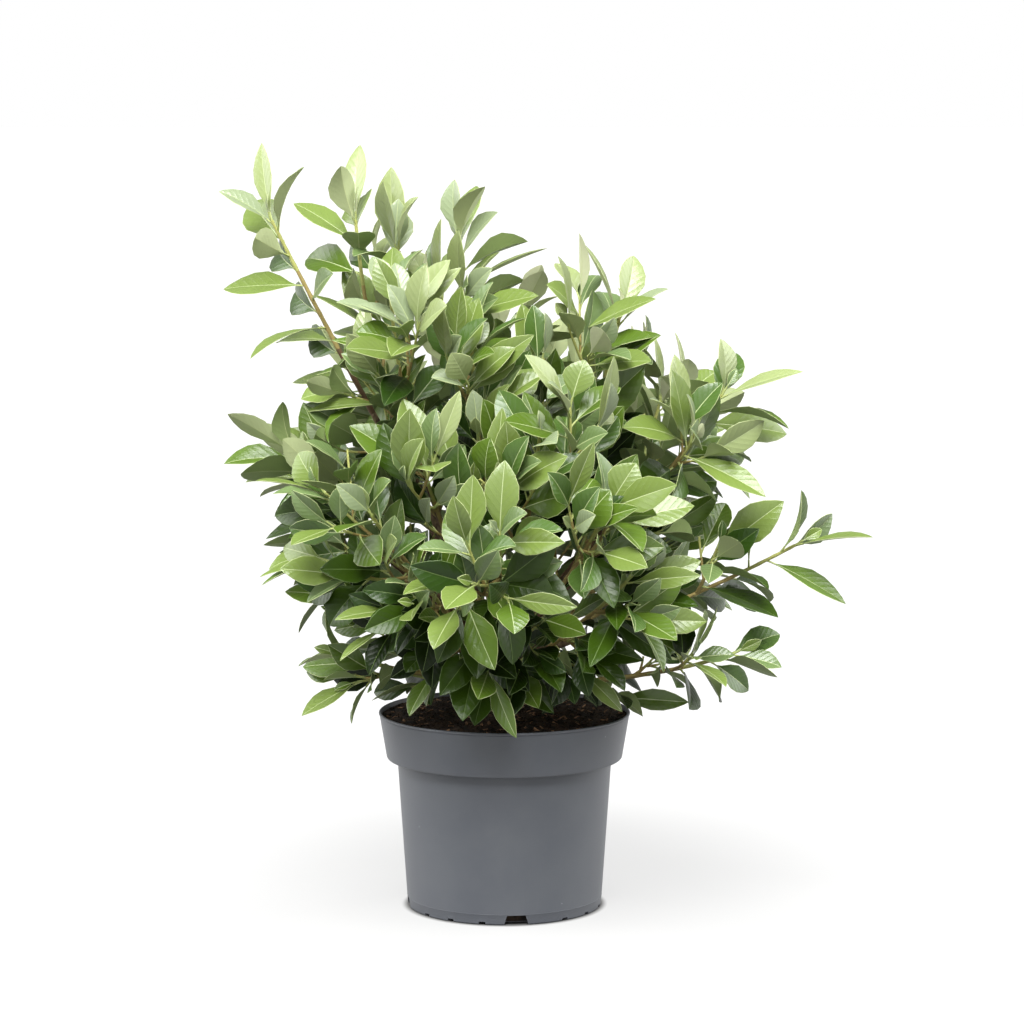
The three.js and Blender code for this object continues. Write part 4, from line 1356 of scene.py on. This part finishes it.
def leaf_piece(name, leaves, crown):
    """All leaves of a mass as one mesh, each face with the colour of its side of its leaf."""
    made = [leaf_points(leaf) for leaf in leaves]
    points = np.concatenate([places for places, _ in made]) * MM
    flat = np.concatenate([places for _, places in made])
    per_leaf = len(made[0][0])
    faces, slots = [], []
    for k, leaf in enumerate(leaves):
        faces += [[i + k * per_leaf for i in face] for face in LEAF_FACES]
        colours = leaf_colours(leaf, sky_share(leaf, crown))
        slots += [colours[kind] for kind in LEAF_KINDS]
    piece = mesh_piece(name, points, faces, leaf_materials, slots)
    uv = piece.data.uv_layers.new(name="blade")
    corners = np.zeros(len(piece.data.loops), int)
    piece.data.loops.foreach_get("vertex_index", corners)
    uv.data.foreach_set("uv", flat[corners].ravel())
    piece.data.set_sharp_from_angle(angle=math.radians(LEAF_CREASE))
    return piece


leaves_of = {stem.name: grow_leaves(index, stem) for index, stem in enumerate(STEMS)}
points, faces = join_meshes([blade_net(leaf) for leaves in leaves_of.values() for leaf in leaves])
crown = BVHTree.FromPolygons(points, faces)
for stem in STEMS:
    piece = leaf_piece(f"leaves_{stem.name}", leaves_of[stem.name], crown)
    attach(piece, "root")
    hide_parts(f"mass_{stem.name}")

# Studio: a white floor and white surroundings with large soft lights, and the camera that the photograph
# was taken with, level with the crown and tilted down a little.
FLOOR_HALF = 40
FLOOR_WHITE = (94, 94, 93)
FLOOR_ROUGHNESS = 0.9
FLOOR_GRAIN = {"cloud_scale": 4.0, "grain_scale": 300.0, "grain_depth": 0.0001}
FLOOR_GLOW = 0.68
# The glow is taken away under the pot and fades back in just round its foot, a painted contact shadow; the
# far glow fades in over a wide ring, a broad painted shade round the pot
PAINTED_SHADOW_FADE_FROM, PAINTED_SHADOW_FADE_TO = 72 * MM, 79 * MM
FLOOR_FAR_GLOW = 0.12
PAINTED_SHADE_FADE_TO = 600 * MM
CAMERA_PLACE = (5.7 * MM, -2650 * MM, 625 * MM)
CAMERA_TILT = 7.0
CAMERA_LENS = 125
CAMERA_SENSOR = 36
ROOM_BRIGHTNESS = 0.34
CAMERA_SIDE_DIMMING = 0.42
BELOW_BRIGHTNESS, BELOW_FADE = 0.25, 0.1
LIGHT_AWAY = 3
LIGHTS = [
    {"name": "overhead", "azimuth": 262, "height": 56, "strength": 7.6, "softness": 40},
    {"name": "front", "azimuth": 266, "height": 8, "strength": 0.9, "softness": 50},
    {"name": "left", "azimuth": 168, "height": 24, "strength": 2.9, "softness": 50},
    {"name": "right", "azimuth": 12, "height": 24, "strength": 2.9, "softness": 50},
]


def make_floor():
    """A white table lit through from below, with painted shadow round the pot: no glow under it, and less
    glow near it.
    """
    material, shader = new_material("floor_white", FLOOR_WHITE, FLOOR_ROUGHNESS, Specular_IOR_Level=0.1)
    tree = material.node_tree
    add_grain(tree, shader, **FLOOR_GRAIN)
    place = add_node(tree, "ShaderNodeTexCoord")
    away = add_node(tree, "ShaderNodeVectorMath", operation="LENGTH")
    total = add_node(tree, "ShaderNodeMath", operation="ADD")
    steps = [(PAINTED_SHADOW_FADE_FROM, PAINTED_SHADOW_FADE_TO, FLOOR_GLOW), (PAINTED_SHADOW_FADE_TO, PAINTED_SHADE_FADE_TO, FLOOR_FAR_GLOW)]
    for socket, (near, far, most) in enumerate(steps):
        glow = add_node(
            tree,
            "ShaderNodeMapRange",
            interpolation_type="SMOOTHSTEP",
            From_Min=near,
            From_Max=far,
            To_Min=0,
            To_Max=most,
        )
        wire(tree, (away, "Value", glow, "Value"), (glow, "Result", total, socket))
    wire(tree, (place, "Object", away, 0), (total, "Value", shader, "Emission Strength"))
    shader.inputs["Emission Color"].default_value = (1, 1, 1, 1)
    half = FLOOR_HALF
    corners = [(-half, -half, 0), (half, -half, 0), (half, half, 0), (-half, half, 0)]
    floor = mesh_piece("floor", corners, [(0, 1, 2, 3)], [material])
    floor.visible_diffuse = False
    return floor


def make_light(name, azimuth, height, strength, softness):
    """A softbox so large and far off that it lights the whole floor evenly. Angles are in degrees."""
    lamp = bpy.data.lights.new(f"{name}_softbox", "SUN")
    lamp.energy = strength
    lamp.angle = math.radians(softness)
    light = bpy.data.objects.new(f"{name}_softbox", lamp)
    light.rotation_mode = "QUATERNION"
    h = math.radians(height)
    towards = placed_at(azimuth, math.cos(h), math.sin(h))
    light.rotation_quaternion = (-towards).to_track_quat("-Z", "Y")
    light.location = towards * LIGHT_AWAY
    bpy.context.scene.collection.objects.link(light)


def make_surroundings():
    """White all round, a little darker on the camera's side, and pure white where the camera sees it."""
    world = bpy.data.worlds.new("white_room")
    world.use_nodes = True
    tree = world.node_tree
    background = tree.nodes["Background"]
    background.inputs["Color"].default_value = (1, 1, 1, 1)
    place = add_node(tree, "ShaderNodeTexCoord")
    parts = add_node(tree, "ShaderNodeSeparateXYZ")
    dimmed = ROOM_BRIGHTNESS * (1 - CAMERA_SIDE_DIMMING)
    room = {"To_Min": dimmed, "To_Max": ROOM_BRIGHTNESS}
    shade = add_node(tree, "ShaderNodeMapRange", From_Min=-1, From_Max=0, **room)
    below = add_node(tree, "ShaderNodeMapRange", From_Min=-BELOW_FADE, From_Max=0, To_Min=BELOW_BRIGHTNESS)
    seen = add_node(tree, "ShaderNodeLightPath")
    strength = add_node(tree, "ShaderNodeMath", operation="MAXIMUM")
    wire(
        tree,
        (place, "Generated", parts, "Vector"),
        (parts, "Y", shade, "Value"),
        (parts, "Z", below, "Value"),
        (shade, "Result", below, "To Max"),
        (seen, "Is Camera Ray", strength, 0),
        (below, "Result", strength, 1),
        (strength, "Value", background, "Strength"),
    )
    bpy.context.scene.world = world


make_floor()
make_surroundings()
for light in LIGHTS:
    make_light(**light)
bpy.context.scene.view_settings.view_transform = "Standard"
camera_data = bpy.data.cameras.new("camera")
camera_data.lens = CAMERA_LENS
camera_data.sensor_width = CAMERA_SENSOR
camera = bpy.data.objects.new("camera", camera_data)
camera.location = CAMERA_PLACE
camera.rotation_euler = (math.radians(90 - CAMERA_TILT), 0, 0)
bpy.context.scene.collection.objects.link(camera)
bpy.context.scene.camera = camera
